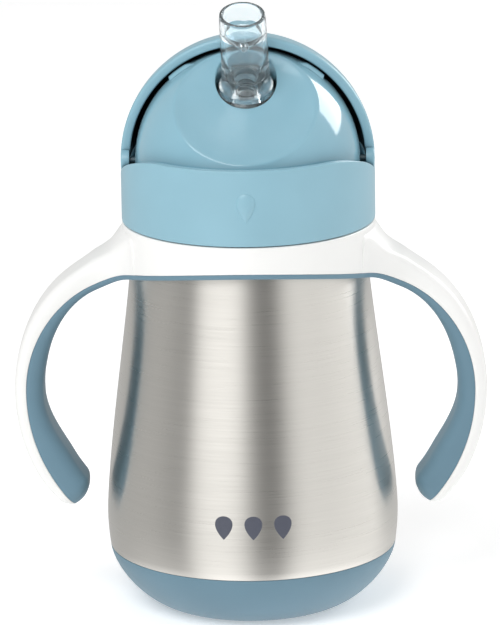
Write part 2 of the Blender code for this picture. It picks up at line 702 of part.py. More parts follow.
def tube_mesh(path, radius, bore, sides=12):
    """A pipe along a path in the YZ plane, open at both ends."""
    outer_rings = []
    inner_rings = []
    for i, point in enumerate(path):
        tangent = (path[min(i + 1, len(path) - 1)] - path[max(i - 1, 0)]).normalized()
        across = Vector((1, 0, 0))
        other = tangent.cross(across)
        turns = [math.tau * k / sides for k in range(sides)]
        rim = [across * math.cos(t) + other * math.sin(t) for t in turns]
        outer_rings.append([point + direction * radius for direction in rim])
        inner_rings.append([point + direction * bore for direction in rim])
    return loft(outer_rings + inner_rings[::-1], closed=True)


def straw_adaptor(surface):
    """Elbow from the mouthpiece's spigot to the upright straw."""
    frame = mouth_frame()
    top = frame @ Vector((0, 0, WELL_FLOOR + 1.0 * MM))
    knee = frame @ Vector((0, 0, -13.0 * MM))
    foot = Vector((0, 0, STRAW_SWING_Z + MM))
    bend = Vector((0, 0, STRAW_TOP_Z + 2.5 * MM))
    aim = (knee - top).normalized() * 4.0 * MM
    curve = [knee, knee + aim, bend + Vector((0, 0, 3.0 * MM)), bend]
    middle = []
    for i in range(7):
        share = i / 6
        rest = 1 - share
        middle.append(curve[0] * rest ** 3 + curve[1] * 3 * rest ** 2 * share
                      + curve[2] * 3 * rest * share ** 2 + curve[3] * share ** 3)
    path = [top] + middle + [foot]
    elbow = new_object("straw_adaptor", tube_mesh(path, ADAPTOR_RADIUS, ADAPTOR_BORE_RADIUS), surface)
    plate = [(ADAPTOR_BORE_RADIUS + 0.4 * MM, -13.0 * MM), (6.5 * MM, -13.0 * MM), (6.5 * MM, -11.6 * MM),
             (ADAPTOR_BORE_RADIUS + 0.4 * MM, -11.6 * MM)]
    join(elbow, "adaptor_plate", lathe(plate, FINE_SEGMENTS, frame))
    return elbow


def straw_tube(surface):
    outline = [(STRAW_BORE_RADIUS, STRAW_BOTTOM_Z), (STRAW_RADIUS, STRAW_BOTTOM_Z),
               (STRAW_RADIUS, STRAW_TOP_Z), (STRAW_BORE_RADIUS, STRAW_TOP_Z)]
    straw = new_object("straw_tube", lathe(outline, 20), surface)
    move_origin(straw, (0.0, 0.0, STRAW_SWING_Z))
    return straw


def straw_weight(surface):
    low, high = WEIGHT_Z
    bore = STRAW_RADIUS + GAP
    bevel = 1.5 * MM
    outline = [(bore, low), (WEIGHT_RADIUS - bevel, low), (WEIGHT_RADIUS, low + bevel),
               (WEIGHT_RADIUS, high - bevel), (WEIGHT_RADIUS - bevel, high), (bore, high)]
    weight = new_object("straw_weight", lathe(outline, FINE_SEGMENTS), surface)
    move_origin(weight, (0.0, 0.0, STRAW_SWING_Z))
    return weight


def straw_inlet(surface):
    """End piece: its stem plugs into the straw, its slotted foot carries the weight."""
    stem = STRAW_BORE_RADIUS - GAP
    seat = WEIGHT_Z[0] - GAP
    outline = [(1.9 * MM, INLET_BOTTOM_Z), (5.6 * MM, INLET_BOTTOM_Z), (6.4 * MM, INLET_BOTTOM_Z + 0.8 * MM),
               (6.4 * MM, seat), (stem, seat), (stem, STRAW_BOTTOM_Z + 9 * MM),
               (1.9 * MM, STRAW_BOTTOM_Z + 9 * MM)]
    inlet = new_object("straw_inlet", lathe(outline, FINE_SEGMENTS), surface)
    move_origin(inlet, (0.0, 0.0, STRAW_SWING_Z))
    for i in range(2):
        slot = bmesh.new()
        bmesh.ops.create_cube(slot, size=1.0)
        size = Matrix.Diagonal((20 * MM, 2.2 * MM, 3.0 * MM, 1.0))
        turn = Matrix.Rotation(i * math.pi / 2, 4, "Z")
        slot.transform(Matrix.Translation((0, 0, INLET_BOTTOM_Z - STRAW_SWING_Z)) @ turn @ size)
        helper = new_object(f"inlet_slot_{i}", slot)
        helper.parent = inlet
        boolean(inlet, helper, "DIFFERENCE")
    return inlet


def build():
    clear_scene()
    blue_lid = material("blue_lid", BLUE_LID, 0.32)
    blue_gloss = material("blue_gloss", BLUE_LID, 0.12)
    blue_grip = material("blue_grip", BLUE_GRIP, 0.55)
    white = material("white", WHITE, 0.5)
    steel = material("steel", STEEL_COLOUR, 0.28, metallic=1.0)
    clear = material("clear_silicone", CLEAR, 0.15, alpha=0.4)
    milky = material("milky_silicone", MILKY, 0.4)

    base_boot(blue_grip)
    outer_shell(steel)
    inner_vessel(steel)
    shell_bottom(steel)
    vacuum_plug(steel)
    handle_frame(white)
    handle_grip(blue_grip)
    lid_collar(blue_lid)
    lid_seal(milky)
    lid_dome(blue_gloss)
    vent_valve(milky)
    rotating_cover(blue_lid)
    mouthpiece_base(clear)
    mouthpiece_tube(clear)
    straw_adaptor(milky)
    straw_tube(clear)
    straw_weight(steel)
    straw_inlet(milky)


build()
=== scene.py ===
"""Looks of the sippy cup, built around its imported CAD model.

Everything is in the frame of the CAD: the cup stands on z = 0 with its axis on +Z, and -Y is the
front. Lengths are given in millimetres times MM.
"""

import math

import bmesh
import bpy
from mathutils import Matrix, Vector

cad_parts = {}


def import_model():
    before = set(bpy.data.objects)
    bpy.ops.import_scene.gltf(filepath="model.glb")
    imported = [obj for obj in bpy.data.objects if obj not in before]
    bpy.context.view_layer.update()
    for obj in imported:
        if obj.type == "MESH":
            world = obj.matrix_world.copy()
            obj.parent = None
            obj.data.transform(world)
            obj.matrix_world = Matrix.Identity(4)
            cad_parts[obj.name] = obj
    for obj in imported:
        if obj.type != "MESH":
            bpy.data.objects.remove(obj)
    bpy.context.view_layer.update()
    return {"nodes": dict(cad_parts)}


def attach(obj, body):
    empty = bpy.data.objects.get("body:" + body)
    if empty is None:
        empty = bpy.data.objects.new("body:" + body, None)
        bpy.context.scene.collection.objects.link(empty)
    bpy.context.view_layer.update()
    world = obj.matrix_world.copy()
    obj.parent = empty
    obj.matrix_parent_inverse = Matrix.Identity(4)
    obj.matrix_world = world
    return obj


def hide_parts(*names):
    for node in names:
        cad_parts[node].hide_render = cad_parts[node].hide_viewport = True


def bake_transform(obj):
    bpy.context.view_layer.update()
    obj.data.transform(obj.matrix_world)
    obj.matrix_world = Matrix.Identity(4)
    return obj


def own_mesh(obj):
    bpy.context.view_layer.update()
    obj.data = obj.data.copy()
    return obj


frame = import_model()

MM = 0.001

# Silhouette of boot and shell
BODY_TOP_Z = 101.0 * MM
BODY_BULGE_RADIUS = 40.55 * MM
BODY_BULGE_Z = 25.5 * MM
BODY_SHOULDER_RADIUS = 32.4 * MM
SEAM_Z = 16.2 * MM
SEAM_RADIUS = 39.9 * MM
FOOT_RADIUS = 24.8 * MM
FOOT_ROUNDNESS = 1.5
BOOT_WALL = 2.0 * MM
STEEL = 0.8 * MM
NECK_RADIUS = 29.6 * MM
LIP_Z = 118.0 * MM

# Screw thread
THREAD_PITCH = 4.0 * MM
THREAD_TURNS = 1.5
THREAD_RIDGE = 1.4 * MM
MALE_CREST_RADIUS = 31.0 * MM
MALE_START_Z = 109.8 * MM
FEMALE_ROOT_RADIUS = 31.7 * MM
FEMALE_CREST_RADIUS = 30.2 * MM
FEMALE_START_Z = MALE_START_Z + THREAD_PITCH / 2

# Lid
COLLAR_RADIUS = 35.0 * MM
COLLAR_BOTTOM_Z = 109.1 * MM
COLLAR_LIP_Z = 130.1 * MM
COLLAR_DIP = 8.2 * MM
COLLAR_DIP_REACH = 26.0 * MM
COLLAR_LIP_INNER_RADIUS = 32.6 * MM
DECK_Z = 120.2 * MM
DECK_TOP_Z = 122.0 * MM
DECK_INNER_RADIUS = 24.0 * MM
PIVOT_Z = 125.4 * MM
DOME_RADIUS = 31.0 * MM
DOME_WALL = 2.0 * MM
DOME_BOTTOM_Z = 122.3 * MM
DISH_ELEVATION = math.radians(49.3)
DISH_RIM_RADIUS = 19.5 * MM
DISH_RIM_DISTANCE = 24.1 * MM
DISH_DEPTH = 2.4 * MM
DISH_EDGE = 0.90 * MM          # how softly the dish runs into the dome
PAD_HEIGHT = 0.9 * MM
PAD_ANGLES = (math.radians(27.0), math.radians(43.0))
PAD_HALF_WIDTH = 3.0 * MM
COVER_RADIUS = 35.0 * MM
COVER_WALL = 2.6 * MM
COVER_OPEN_ANGLE = math.radians(86.5)
COVER_SPAN = math.radians(82.0)
PIVOT_BOSS_RADIUS = 3.0 * MM

COLLAR_DROP_Z = 119.9 * MM     # middle of the raised drop
COLLAR_DROP_HEIGHT = 0.75 * MM

# Print on the shell
PRINT_Z = 31.4 * MM
PRINT_PITCH = 8.2 * MM
PRINT_SHIFT = 0.9 * MM         # to the right of the middle
PRINT_THICKNESS = 0.05 * MM

# Mouthpiece and straw
MOUTH_TILT = math.radians(22.0)
MOUTH_BASE = Vector((0.0, -6.8 * MM, 149.2 * MM))
MOUTH_LENGTH = 21.5 * MM
MOUTH_TIP_RADIUS = 6.4 * MM
MOUTH_ROOT_RADIUS = 6.5 * MM
MOUTH_LEAN = math.radians(1.7)  # soft tube, set a little askew
CAVITY_RADIUS = 5.2 * MM
VALVE_Z = 9.8 * MM
VALVE_RISE = 6.2 * MM
BORE_RADIUS = 5.3 * MM
BELL_RADIUS = 7.5 * MM
TUBE_LOW = -3.4 * MM           # where tube and flange part
WELL_RADIUS = 8.35 * MM
WELL_FLOOR = -6.2 * MM
WELL_BORE = 5.6 * MM
STRAW_TOP_Z = 127.0 * MM
STRAW_BOTTOM_Z = 19.0 * MM
STRAW_RADIUS = 4.3 * MM
STRAW_BORE_RADIUS = 3.3 * MM

# Handles
RING_TOP_Z = 108.8 * MM
RING_SEAT_Z = 101.3 * MM
RING_INNER_RADIUS = 31.5 * MM
SKIRT_INNER_RADIUS = 33.5 * MM
SPLIT_SIDE_Z = 94.0 * MM
SPLIT_FRONT_RISE = 7.4 * MM
RING_GRIP_HEIGHT = 1.4 * MM
ARM_WIDTH = 15.5 * MM
ARM_PLAN_FILLET = 8.0 * MM     # arms run into the ring with this fillet, seen from above
ARM_REACH_X = 62.2 * MM
ARM_REACH_Z = 61.0 * MM
ARM_END = (49.0 * MM, 27.9 * MM)
ARM_ROOT_X = 33.75 * MM
ROOT_START = 1.25 * MM         # the plan fillet begins this far along the arm
SHOULDER_RISE = 1.9 * MM       # fuller upper side, a little way out from the ring
TIP_ROUND = 4.85 * MM
TIP_WHITE_END = 0.45 * MM
COLOUR_SEAM = 0.03 * MM        # half of the hairline between white and blue
SEAM_EDGE = 0.12 * MM          # rounding of the edges along that hairline

# Camera
CAMERA_ORBIT = Vector((0.0, 0.0, 80.0 * MM))
CAMERA_DISTANCE = 1.5
CAMERA_ELEVATION = math.radians(15.0)
CAMERA_AZIMUTH = math.radians(1.2)
CAMERA_ROLL = math.radians(0.85)
CAMERA_LENS = 311.5
CAMERA_AIM = Vector((0.0, 0.0, 81.6 * MM))

# Studio
LAMP_AIM = Vector((0.0, 0.0, 100.0 * MM))
AMBIENT = 0.46                 # white room, as matt surfaces see it
BRIGHTEST = 2.0                # scale of the soft boxes that mirrors see
FLOOR_GLOW = 0.34              # keeps the floor as pale as the room

# Colours
LID_BLUE = (0.255, 0.458, 0.550)
DOME_BLUE = (0.245, 0.452, 0.548)
GRIP_BLUE = (0.126, 0.232, 0.302)
GAP_SHADE_DEPTH = 0.06               # painted shade: share of the base colour left at the bottom of a narrow gap


# ---------------------------------------------------------------- mesh tools

def spaced(low, high, steps):
    return [low + (high - low) * i / steps for i in range(steps + 1)]


def smoothstep(low, high, value):
    share = min(max((value - low) / (high - low), 0.0), 1.0)
    return share * share * (3.0 - 2.0 * share)


def rounded(corners, steps=4):
    """A closed outline with rounded corners, from (radius, height, fillet)."""
    outline = []
    for i, (radius, height, fillet) in enumerate(corners):
        here = Vector((radius, height))
        if fillet == 0.0:
            outline.append((radius, height))
            continue
        back = Vector(corners[i - 1][:2]) - here
        ahead = Vector(corners[(i + 1) % len(corners)][:2]) - here
        cut = min(fillet, back.length * 0.49, ahead.length * 0.49)
        start = here + back.normalized() * cut
        end = here + ahead.normalized() * cut
        for share in spaced(0.0, 1.0, steps):
            rest = 1.0 - share
            point = start * rest ** 2 + here * 2.0 * share * rest + end * share ** 2
            outline.append((point.x, point.y))
    return outline


def lathe(outline, segments=160, transform=None):
    """Spin a closed outline of (radius, height) points about +Z; points on the axis become poles."""
    skin = bmesh.new()
    turns = [math.tau * k / segments for k in range(segments)]
    rings = []
    for radius, height in outline:
        if radius < 1e-7:
            rings.append([skin.verts.new((0.0, 0.0, height))])
        else:
            rings.append([skin.verts.new((radius * math.cos(t), radius * math.sin(t), height))
                          for t in turns])
    for i, ring in enumerate(rings):
        bridge(skin, rings[i - 1], ring)
    if transform:
        skin.transform(transform)
    return skin


def bridge(skin, ring, following):
    """Faces between two closed rings, either of which may be a single pole."""
    count = max(len(ring), len(following))
    if count == 1:
        return
    for k in range(count):
        if len(ring) == 1:
            corners = (ring[0], following[k], following[k - 1])
        elif len(following) == 1:
            corners = (ring[k - 1], ring[k], following[0])
        else:
            corners = (ring[k - 1], ring[k], following[k], following[k - 1])
        skin.faces.new(corners)


def loft(sections, closed=False):
    """Join equal rings of points; the ends are capped unless the loft closes on itself."""
    skin = bmesh.new()
    rings = [[skin.verts.new(point) for point in section] for section in sections]
    for ring, following in zip(rings, rings[1:]):
        bridge(skin, ring, following)
    if closed:
        bridge(skin, rings[-1], rings[0])
    else:
        skin.faces.new(rings[0])
        skin.faces.new(rings[-1])
    return skin


def bare_object(name, mesh_data):
    bmesh.ops.recalc_face_normals(mesh_data, faces=mesh_data.faces)
    mesh = bpy.data.meshes.new(name)
    mesh_data.to_mesh(mesh)
    mesh_data.free()
    made = bpy.data.objects.new(name, mesh)
    bpy.context.collection.objects.link(made)
    return made


def united(item, *others):
    """Fuse other objects into item with exact Booleans, and keep only the result."""
    for other in others:
        step = item.modifiers.new(other.name, "BOOLEAN")
        step.operation = "UNION"
        step.solver = "EXACT"
        step.object = other
    graph = bpy.context.evaluated_depsgraph_get()
    fused = bpy.data.meshes.new_from_object(item.evaluated_get(graph))
    item.modifiers.clear()
    item.data = fused
    for other in others:
        bpy.data.objects.remove(other, do_unlink=True)
    return item


def dressed(item, surface, body=None, replaces=(), crease=32.0):
    """Shade an object smoothly, give it its material, and hand it to the frame."""
    item.data.shade_smooth()
    item.data.set_sharp_from_angle(angle=math.radians(crease))
    item.data.materials.clear()
    item.data.materials.append(surface)
    if replaces:
        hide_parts(*replaces)
    if body:
        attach(item, body)
    return item


# ---------------------------------------------------------------- materials

class Recipe:
    """A node material around one Principled shader; constants are the values of its sockets."""

    def __init__(self, name, constants):
        self.material = bpy.data.materials.new(name)
        self.material.use_nodes = True
        self.nodes = self.material.node_tree.nodes
        self.links = self.material.node_tree.links
        self.shader = self.nodes["Principled BSDF"]
        for socket, value in constants.items():
            self.shader.inputs[socket].default_value = value
        self.place = self.nodes.new("ShaderNodeTexCoord").outputs["Object"]

    def stretched(self, scale):
        """Object coordinates times a scale for each axis."""
        node = self.nodes.new("ShaderNodeVectorMath")
        node.operation = "MULTIPLY"
        node.inputs[1].default_value = scale
        self.links.new(self.place, node.inputs[0])
        return node.outputs[0]

    def noise(self, vector, scale, detail=2.0, roughness=0.5):
        node = self.nodes.new("ShaderNodeTexNoise")
        node.inputs["Scale"].default_value = scale
        node.inputs["Detail"].default_value = detail
        node.inputs["Roughness"].default_value = roughness
        self.links.new(vector, node.inputs["Vector"])
        return node.outputs["Fac"]

    def ranged(self, value, low, high, start=0.3, end=0.7):
        node = self.nodes.new("ShaderNodeMapRange")
        node.inputs["From Min"].default_value = start
        node.inputs["From Max"].default_value = end
        node.inputs["To Min"].default_value = low
        node.inputs["To Max"].default_value = high
        self.links.new(value, node.inputs["Value"])
        return node.outputs["Result"]

    def tint(self, value, dark, light):
        """Base colour between two colours, by a value from 0 to 1."""
        node = self.nodes.new("ShaderNodeMix")
        node.data_type = "RGBA"
        node.inputs[6].default_value = (*dark, 1.0)
        node.inputs[7].default_value = (*light, 1.0)
        self.links.new(value, node.inputs["Factor"])
        self.links.new(node.outputs[2], self.shader.inputs["Base Color"])

    def bump(self, height, distance, strength=1.0):
        node = self.nodes.new("ShaderNodeBump")
        node.inputs["Strength"].default_value = strength
        node.inputs["Distance"].default_value = distance
        self.links.new(height, node.inputs["Height"])
        self.links.new(node.outputs["Normal"], self.shader.inputs["Normal"])

    def paint_gap_shade(self, reach, depth):
        """Painted shade: darken the base colour in narrow gaps, where light scatters many times, by an
        ambient-occlusion mask.
        """
        link = self.shader.inputs["Base Color"].links[0]
        source = link.from_socket
        node = self.nodes.new("ShaderNodeAmbientOcclusion")
        node.samples = 8
        node.inputs["Distance"].default_value = reach
        # painted shade: full colour in the open, down to depth at the bottom of a narrow gap
        gap_shade_factor = self.ranged(node.outputs["AO"], depth, 1.0, 0.32, 0.70)
        mix = self.nodes.new("ShaderNodeMix")
        mix.data_type = "RGBA"
        mix.blend_type = "MULTIPLY"
        mix.inputs["Factor"].default_value = 1.0
        self.links.new(source, mix.inputs[6])
        self.links.new(gap_shade_factor, mix.inputs[7])
        self.links.new(mix.outputs[2], self.shader.inputs["Base Color"])

    def roughness(self, value, low, high):
        self.links.new(self.ranged(value, low, high), self.shader.inputs["Roughness"])


def shades(colour, spread):
    return ([part * (1.0 - spread) for part in colour], [part * (1.0 + spread) for part in colour])


def moulded(name, colour, roughness, grain, depth, spread=0.025, gap=None, **constants):
    """Moulded plastic or rubber: faint clouds in the colour and a fine grain; with a gap reach, painted
    shade darkens the colour in narrow gaps.
    """
    recipe = Recipe(name, {key.replace("_", " "): value for key, value in constants.items()})
    clouds = recipe.noise(recipe.place, 55.0, detail=3.0)
    recipe.tint(recipe.ranged(clouds, 0.0, 1.0), *shades(colour, spread))
    # painted shade in narrow gaps, put into the base colour
    if gap:
        recipe.paint_gap_shade(gap, GAP_SHADE_DEPTH)
    fine = recipe.noise(recipe.place, 1.0 / grain, detail=2.0)
    recipe.roughness(fine, roughness * 0.9, roughness * 1.1)
    recipe.bump(fine, depth)
    return recipe.material


def brushed(name, colour, roughness, anisotropy, depth):
    """Steel brushed round the axis: long hair-fine streaks at every height."""
    recipe = Recipe(name, {"Metallic": 1.0, "Anisotropic": anisotropy, "Anisotropic Rotation": 0.25})
    hair = recipe.noise(recipe.stretched((60.0, 60.0, 6500.0)), 1.0, detail=3.0, roughness=0.6)
    lines = recipe.noise(recipe.stretched((30.0, 30.0, 2200.0)), 1.0, detail=3.0, roughness=0.6)
    both = recipe.nodes.new("ShaderNodeMath")
    both.operation = "MULTIPLY_ADD"
    both.inputs[1].default_value = 0.5
    recipe.links.new(hair, both.inputs[0])
    half = recipe.nodes.new("ShaderNodeMath")
    half.operation = "MULTIPLY"
    half.inputs[1].default_value = 0.5
    recipe.links.new(lines, half.inputs[0])
    recipe.links.new(half.outputs[0], both.inputs[2])
    recipe.tint(recipe.ranged(both.outputs[0], 0.0, 1.0), *shades(colour, 0.045))
    recipe.roughness(both.outputs[0], roughness * 0.85, roughness * 1.15)
    recipe.bump(hair, depth, strength=0.5)
    tangent = recipe.nodes.new("ShaderNodeTangent")
    tangent.direction_type = "RADIAL"
    tangent.axis = "Z"
    recipe.links.new(tangent.outputs["Tangent"], recipe.shader.inputs["Tangent"])
    return recipe.material


def clear(name, colour, roughness, ior):
    """Clear silicone, with a faint haze that comes and goes."""
    recipe = Recipe(name, {"Transmission Weight": 0.96, "IOR": ior})
    haze = recipe.noise(recipe.place, 260.0, detail=2.0)
    recipe.tint(recipe.ranged(haze, 0.0, 1.0), *shades(colour, 0.008))
    recipe.roughness(haze, roughness * 0.6, roughness * 1.4)
    recipe.bump(haze, 0.03 * MM, strength=0.3)
    return recipe.material


# The cover's and the dome's materials have painted shade in their narrow gaps; the collar's material is
# the same blue without painted shade.
blue_lid_gap_shaded = moulded("lid_satin_gap_shaded", LID_BLUE, 0.34, 0.25 * MM, 0.004 * MM, gap=4.0 * MM)
blue_collar = moulded("collar_satin", LID_BLUE, 0.34, 0.25 * MM, 0.004 * MM)
blue_dome_gap_shaded = moulded("dome_gloss_gap_shaded", DOME_BLUE, 0.10, 1.6 * MM, 0.003 * MM, gap=1.7 * MM)
blue_grip = moulded("grip_soft_touch", GRIP_BLUE, 0.56, 0.20 * MM, 0.008 * MM,
                    Sheen_Weight=0.06, Sheen_Roughness=0.5)
white_plastic = moulded("white_satin", (0.86, 0.86, 0.845), 0.42, 0.30 * MM, 0.004 * MM, spread=0.008)
steel = brushed("brushed_steel", (0.640, 0.622, 0.590), 0.30, 0.90, 0.004 * MM)
liner_steel = brushed("liner_steel", (0.60, 0.59, 0.57), 0.24, 0.55, 0.006 * MM)
clear_silicone = clear("clear_silicone", (0.89, 0.965, 0.99), 0.02, 1.34)
milky_silicone = moulded("milky_silicone", (0.72, 0.75, 0.76), 0.38, 0.5 * MM, 0.004 * MM,
                         Transmission_Weight=0.35, IOR=1.41)
natural_plastic = moulded("natural_plastic", (0.76, 0.79, 0.80), 0.25, 0.5 * MM, 0.003 * MM,
                          Transmission_Weight=0.45, IOR=1.49)
polished_steel = brushed("polished_steel", (0.66, 0.66, 0.65), 0.12, 0.3, 0.002 * MM)
print_ink = moulded("slate_ink", (0.075, 0.082, 0.112), 0.45, 0.2 * MM, 0.004 * MM, spread=0.05)


# ---------------------------------------------------------------- vessel

def foot_radius(height):
    share = 1.0 - height / SEAM_Z
    bulge = (1.0 - share ** FOOT_ROUNDNESS) ** (1.0 / FOOT_ROUNDNESS)
    return FOOT_RADIUS + (SEAM_RADIUS - FOOT_RADIUS) * bulge


def body_radius(height):
    if height < BODY_BULGE_Z:
        share = (BODY_BULGE_Z - height) / (BODY_BULGE_Z - SEAM_Z)
        return BODY_BULGE_RADIUS - (BODY_BULGE_RADIUS - SEAM_RADIUS) * share ** 2
    share = (height - BODY_BULGE_Z) / (BODY_TOP_Z - BODY_BULGE_Z)
    fall = BODY_BULGE_RADIUS - BODY_SHOULDER_RADIUS
    return BODY_BULGE_RADIUS - fall * (1.30 * share ** 1.42 - 0.30 * share ** 3.4)


def boot():
    """Soft boot: a shallow recess under the foot, and a fine rounded edge along the seam."""
    rise = [SEAM_Z * share ** 2 for share in spaced(0.0, 0.985, 30)]
    side = [(foot_radius(height), height) for height in rise]
    top = SEAM_Z - 0.04 * MM
    edge = rounded([(*side[-1], 0.0), (SEAM_RADIUS, top, 0.22 * MM),
                    (SEAM_RADIUS - BOOT_WALL, top, 0.0)])
    inside = [(radius - BOOT_WALL, max(height, BOOT_WALL)) for radius, height in side[::-3]]
    recess = [(0.0, 0.5 * MM), (18.6 * MM, 0.5 * MM), (19.1 * MM, 0.35 * MM), (19.5 * MM, 0.0)]
    return bare_object("boot", lathe(recess + side + edge[1:] + inside + [(0.0, BOOT_WALL)], 192))


def thread(crest, root, start):
    steps = 72
    count = int(steps * THREAD_TURNS)
    sections = []
    for i in range(count + 1):
        angle = math.tau * i / steps
        fade = min(1.0, (min(i, count - i) + 0.4) / 9.0)
        tip = root + (crest - root) * fade
        z = start + THREAD_PITCH * i / steps
        half = THREAD_RIDGE / 2
        profile = [(root, z - half), (tip, z - half * 0.55), (tip, z), (tip, z + half * 0.55),
                   (root, z + half)]
        sections.append([Vector((r * math.cos(angle), r * math.sin(angle), h)) for r, h in profile])
    return loft(sections)


def shell():
    """Outer steel wall from inside the boot to the lip, with the thread that takes the lid."""
    wall = [(body_radius(z), z) for z in spaced(SEAM_Z + 0.25 * MM, BODY_TOP_Z - 1.8 * MM, 44)]
    shoulder_radius = body_radius(BODY_TOP_Z)
    below = (SEAM_RADIUS - BOOT_WALL - 0.3 * MM, SEAM_Z - 3.0 * MM)
    seam = [(below[0], SEAM_Z + 0.02 * MM), (SEAM_RADIUS - 0.15 * MM, SEAM_Z + 0.02 * MM),
            (SEAM_RADIUS - 0.04 * MM, SEAM_Z + 0.1 * MM)]
    top = rounded([(*wall[-1], 0.0), (shoulder_radius, BODY_TOP_Z, 1.5 * MM),
                   (NECK_RADIUS, BODY_TOP_Z, 0.8 * MM), (NECK_RADIUS, LIP_Z - STEEL, 0.2 * MM),
                   (NECK_RADIUS - STEEL, LIP_Z - STEEL, 0.0)])
    inside = [(NECK_RADIUS - STEEL, BODY_TOP_Z - STEEL)]
    inside += [(radius - STEEL, height) for radius, height in wall[::-4]]
    inside += [(SEAM_RADIUS - STEEL, SEAM_Z + STEEL), (below[0] - STEEL, SEAM_Z + STEEL),
               (below[0] - STEEL, below[1])]
    outline = [below] + seam + wall + top[1:] + inside
    ridge = bare_object("shell_thread", thread(MALE_CREST_RADIUS, NECK_RADIUS - 0.3 * MM, MALE_START_Z))
    return united(bare_object("shell", lathe(outline, 192)), ridge)


def drop_outline(width, height, count=48):
    """A drop with its round end up, about its own middle."""
    points = []
    for k in range(count):
        angle = math.tau * k / count
        x = math.sin(angle) * abs(math.sin(angle / 2)) ** 0.95 / 0.775
        points.append((x * width / 2, -math.cos(angle) * height / 2))
    return points


def raised_patch(outline, place, base, height, steps=5, dome=0.5):
    """A thin island on a curved surface; place(u, v, lift) gives its points in space."""
    skin = bmesh.new()
    rings = [[skin.verts.new(place(u, v, base)) for u, v in outline]]
    for i in range(steps):
        share = 1.0 - (i / steps) ** 1.6 * 0.999
        lift = height * (1.0 - share ** 2.6) ** dome
        scale = 0.35 + 0.65 * share if i == 0 else share
        rings.append([skin.verts.new(place(u * scale, v * scale, lift)) for u, v in outline])
    rings.append([skin.verts.new(place(0.0, 0.0, height))])
    for ring, following in zip(rings, rings[1:]):
        bridge(skin, ring, following)
    bottom = [skin.verts.new(place(0.0, 0.0, base))]
    bridge(skin, bottom, rings[0])
    return skin


def merge_meshes(target, addition):
    """Add the faces of one bmesh to another."""
    known = {vert: target.verts.new(vert.co) for vert in addition.verts}
    for face in addition.faces:
        target.faces.new([known[vert] for vert in face.verts])
    addition.free()
    return target


def print_motif():
    """Three plain drops printed on the front of the shell."""
    skin = bmesh.new()
    outline = drop_outline(4.9 * MM, 6.6 * MM)
    for offset in (-PRINT_PITCH, 0.0, PRINT_PITCH):
        def place(u, v, lift):
            height = PRINT_Z + v
            radius = body_radius(height) + lift
            angle = (offset + PRINT_SHIFT + u) / BODY_BULGE_RADIUS
            return Vector((radius * math.sin(angle), -radius * math.cos(angle), height))
        drop = raised_patch(outline, place, -PRINT_THICKNESS, PRINT_THICKNESS, dome=0.2)
        merge_meshes(skin, drop)
    return bare_object("motif_drops", skin)


# ---------------------------------------------------------------- handles

def bezier(points, share):
    a, b, c, d = (Vector(p) for p in points)
    rest = 1.0 - share
    return a * rest ** 3 + b * 3 * rest ** 2 * share + c * 3 * rest * share ** 2 + d * share ** 3


def arm_path(steps):
    """Where white and blue meet along one arm, as (x, z) points of two Bezier curves."""
    reach = (ARM_REACH_X, ARM_REACH_Z)
    upper = [(ARM_ROOT_X, SPLIT_SIDE_Z), (ARM_ROOT_X + 13.5 * MM, SPLIT_SIDE_Z),
             (ARM_REACH_X, ARM_REACH_Z + 19.0 * MM), reach]
    lower = [reach, (ARM_REACH_X, ARM_REACH_Z - 15.0 * MM),
             (ARM_END[0] + 6.6 * MM, ARM_END[1] + 7.0 * MM), ARM_END]
    first = [bezier(upper, i / steps) for i in range(steps)]
    return first + [bezier(lower, i / steps) for i in range(steps + 1)]


def arm_runs(end):
    """Lengths along the arm where its sections stand, closest at the root and in the round tip."""
    turned = [ROOT_START + ARM_PLAN_FILLET * (1.0 - math.cos(angle))
              for angle in spaced(0.0, math.pi / 2, 14)]
    root = spaced(0.0, ROOT_START, 3)[:-1] + turned
    straight = spaced(root[-1], end - TIP_ROUND, 44)[1:]
    turns = (8, 16, 24, 32, 40, 48, 56, 64, 71, 77, 82, 86)
    return root + straight + [end - TIP_ROUND * (1.0 - math.sin(math.radians(t))) for t in turns]


def arm_frames():
    """Sections of the arm: point on its path, outward normal, length run and length left."""
    path = arm_path(90)
    lengths = [0.0]
    for point, following in zip(path, path[1:]):
        lengths.append(lengths[-1] + (following - point).length)
    end = lengths[-1]
    tangents = [(path[min(i + 1, len(path) - 1)] - path[max(i - 1, 0)]).normalized()
                for i in range(len(path))]
    tangents[0] = Vector((1.0, 0.0))
    frames = []
    for run in arm_runs(end):
        i = max(k for k, length in enumerate(lengths[:-1]) if length <= run)
        share = (run - lengths[i]) / (lengths[i + 1] - lengths[i])
        tangent = tangents[i].lerp(tangents[i + 1], share).normalized()
        frames.append((path[i].lerp(path[i + 1], share), Vector((-tangent.y, tangent.x)),
                       run, end - run))
    return frames


def tip_shrink(left):
    past = max(0.0, 1.0 - left / TIP_ROUND)
    return math.sqrt(1.0 - past ** 2)


def root_turn(run):
    """Angle turned along the plan fillet where the arm leaves the ring, from 0 to 90 degrees."""
    share = (run - ROOT_START) / ARM_PLAN_FILLET
    return math.acos(min(max(1.0 - share, 0.0), 1.0))


def arm_half_width(run, left):
    """Half of the arm's width: a plan fillet at the ring, then straight, then the round tip."""
    width = ARM_WIDTH / 2 + ARM_PLAN_FILLET * (1.0 - math.sin(root_turn(run)))
    return width * (0.4 + 0.6 * tip_shrink(left))


def white_thickness(run, left):
    root = 10.8 * MM * math.exp(-((run / (4.2 * MM)) ** 1.3))
    swell = smoothstep(2.0 * MM, 8.0 * MM, run) * (1.0 - smoothstep(10 * MM, 44 * MM, run))
    thinner = 0.85 * MM * (1.0 - smoothstep(0.0, 14 * MM, left))
    return 3.3 * MM + root + SHOULDER_RISE * swell - thinner


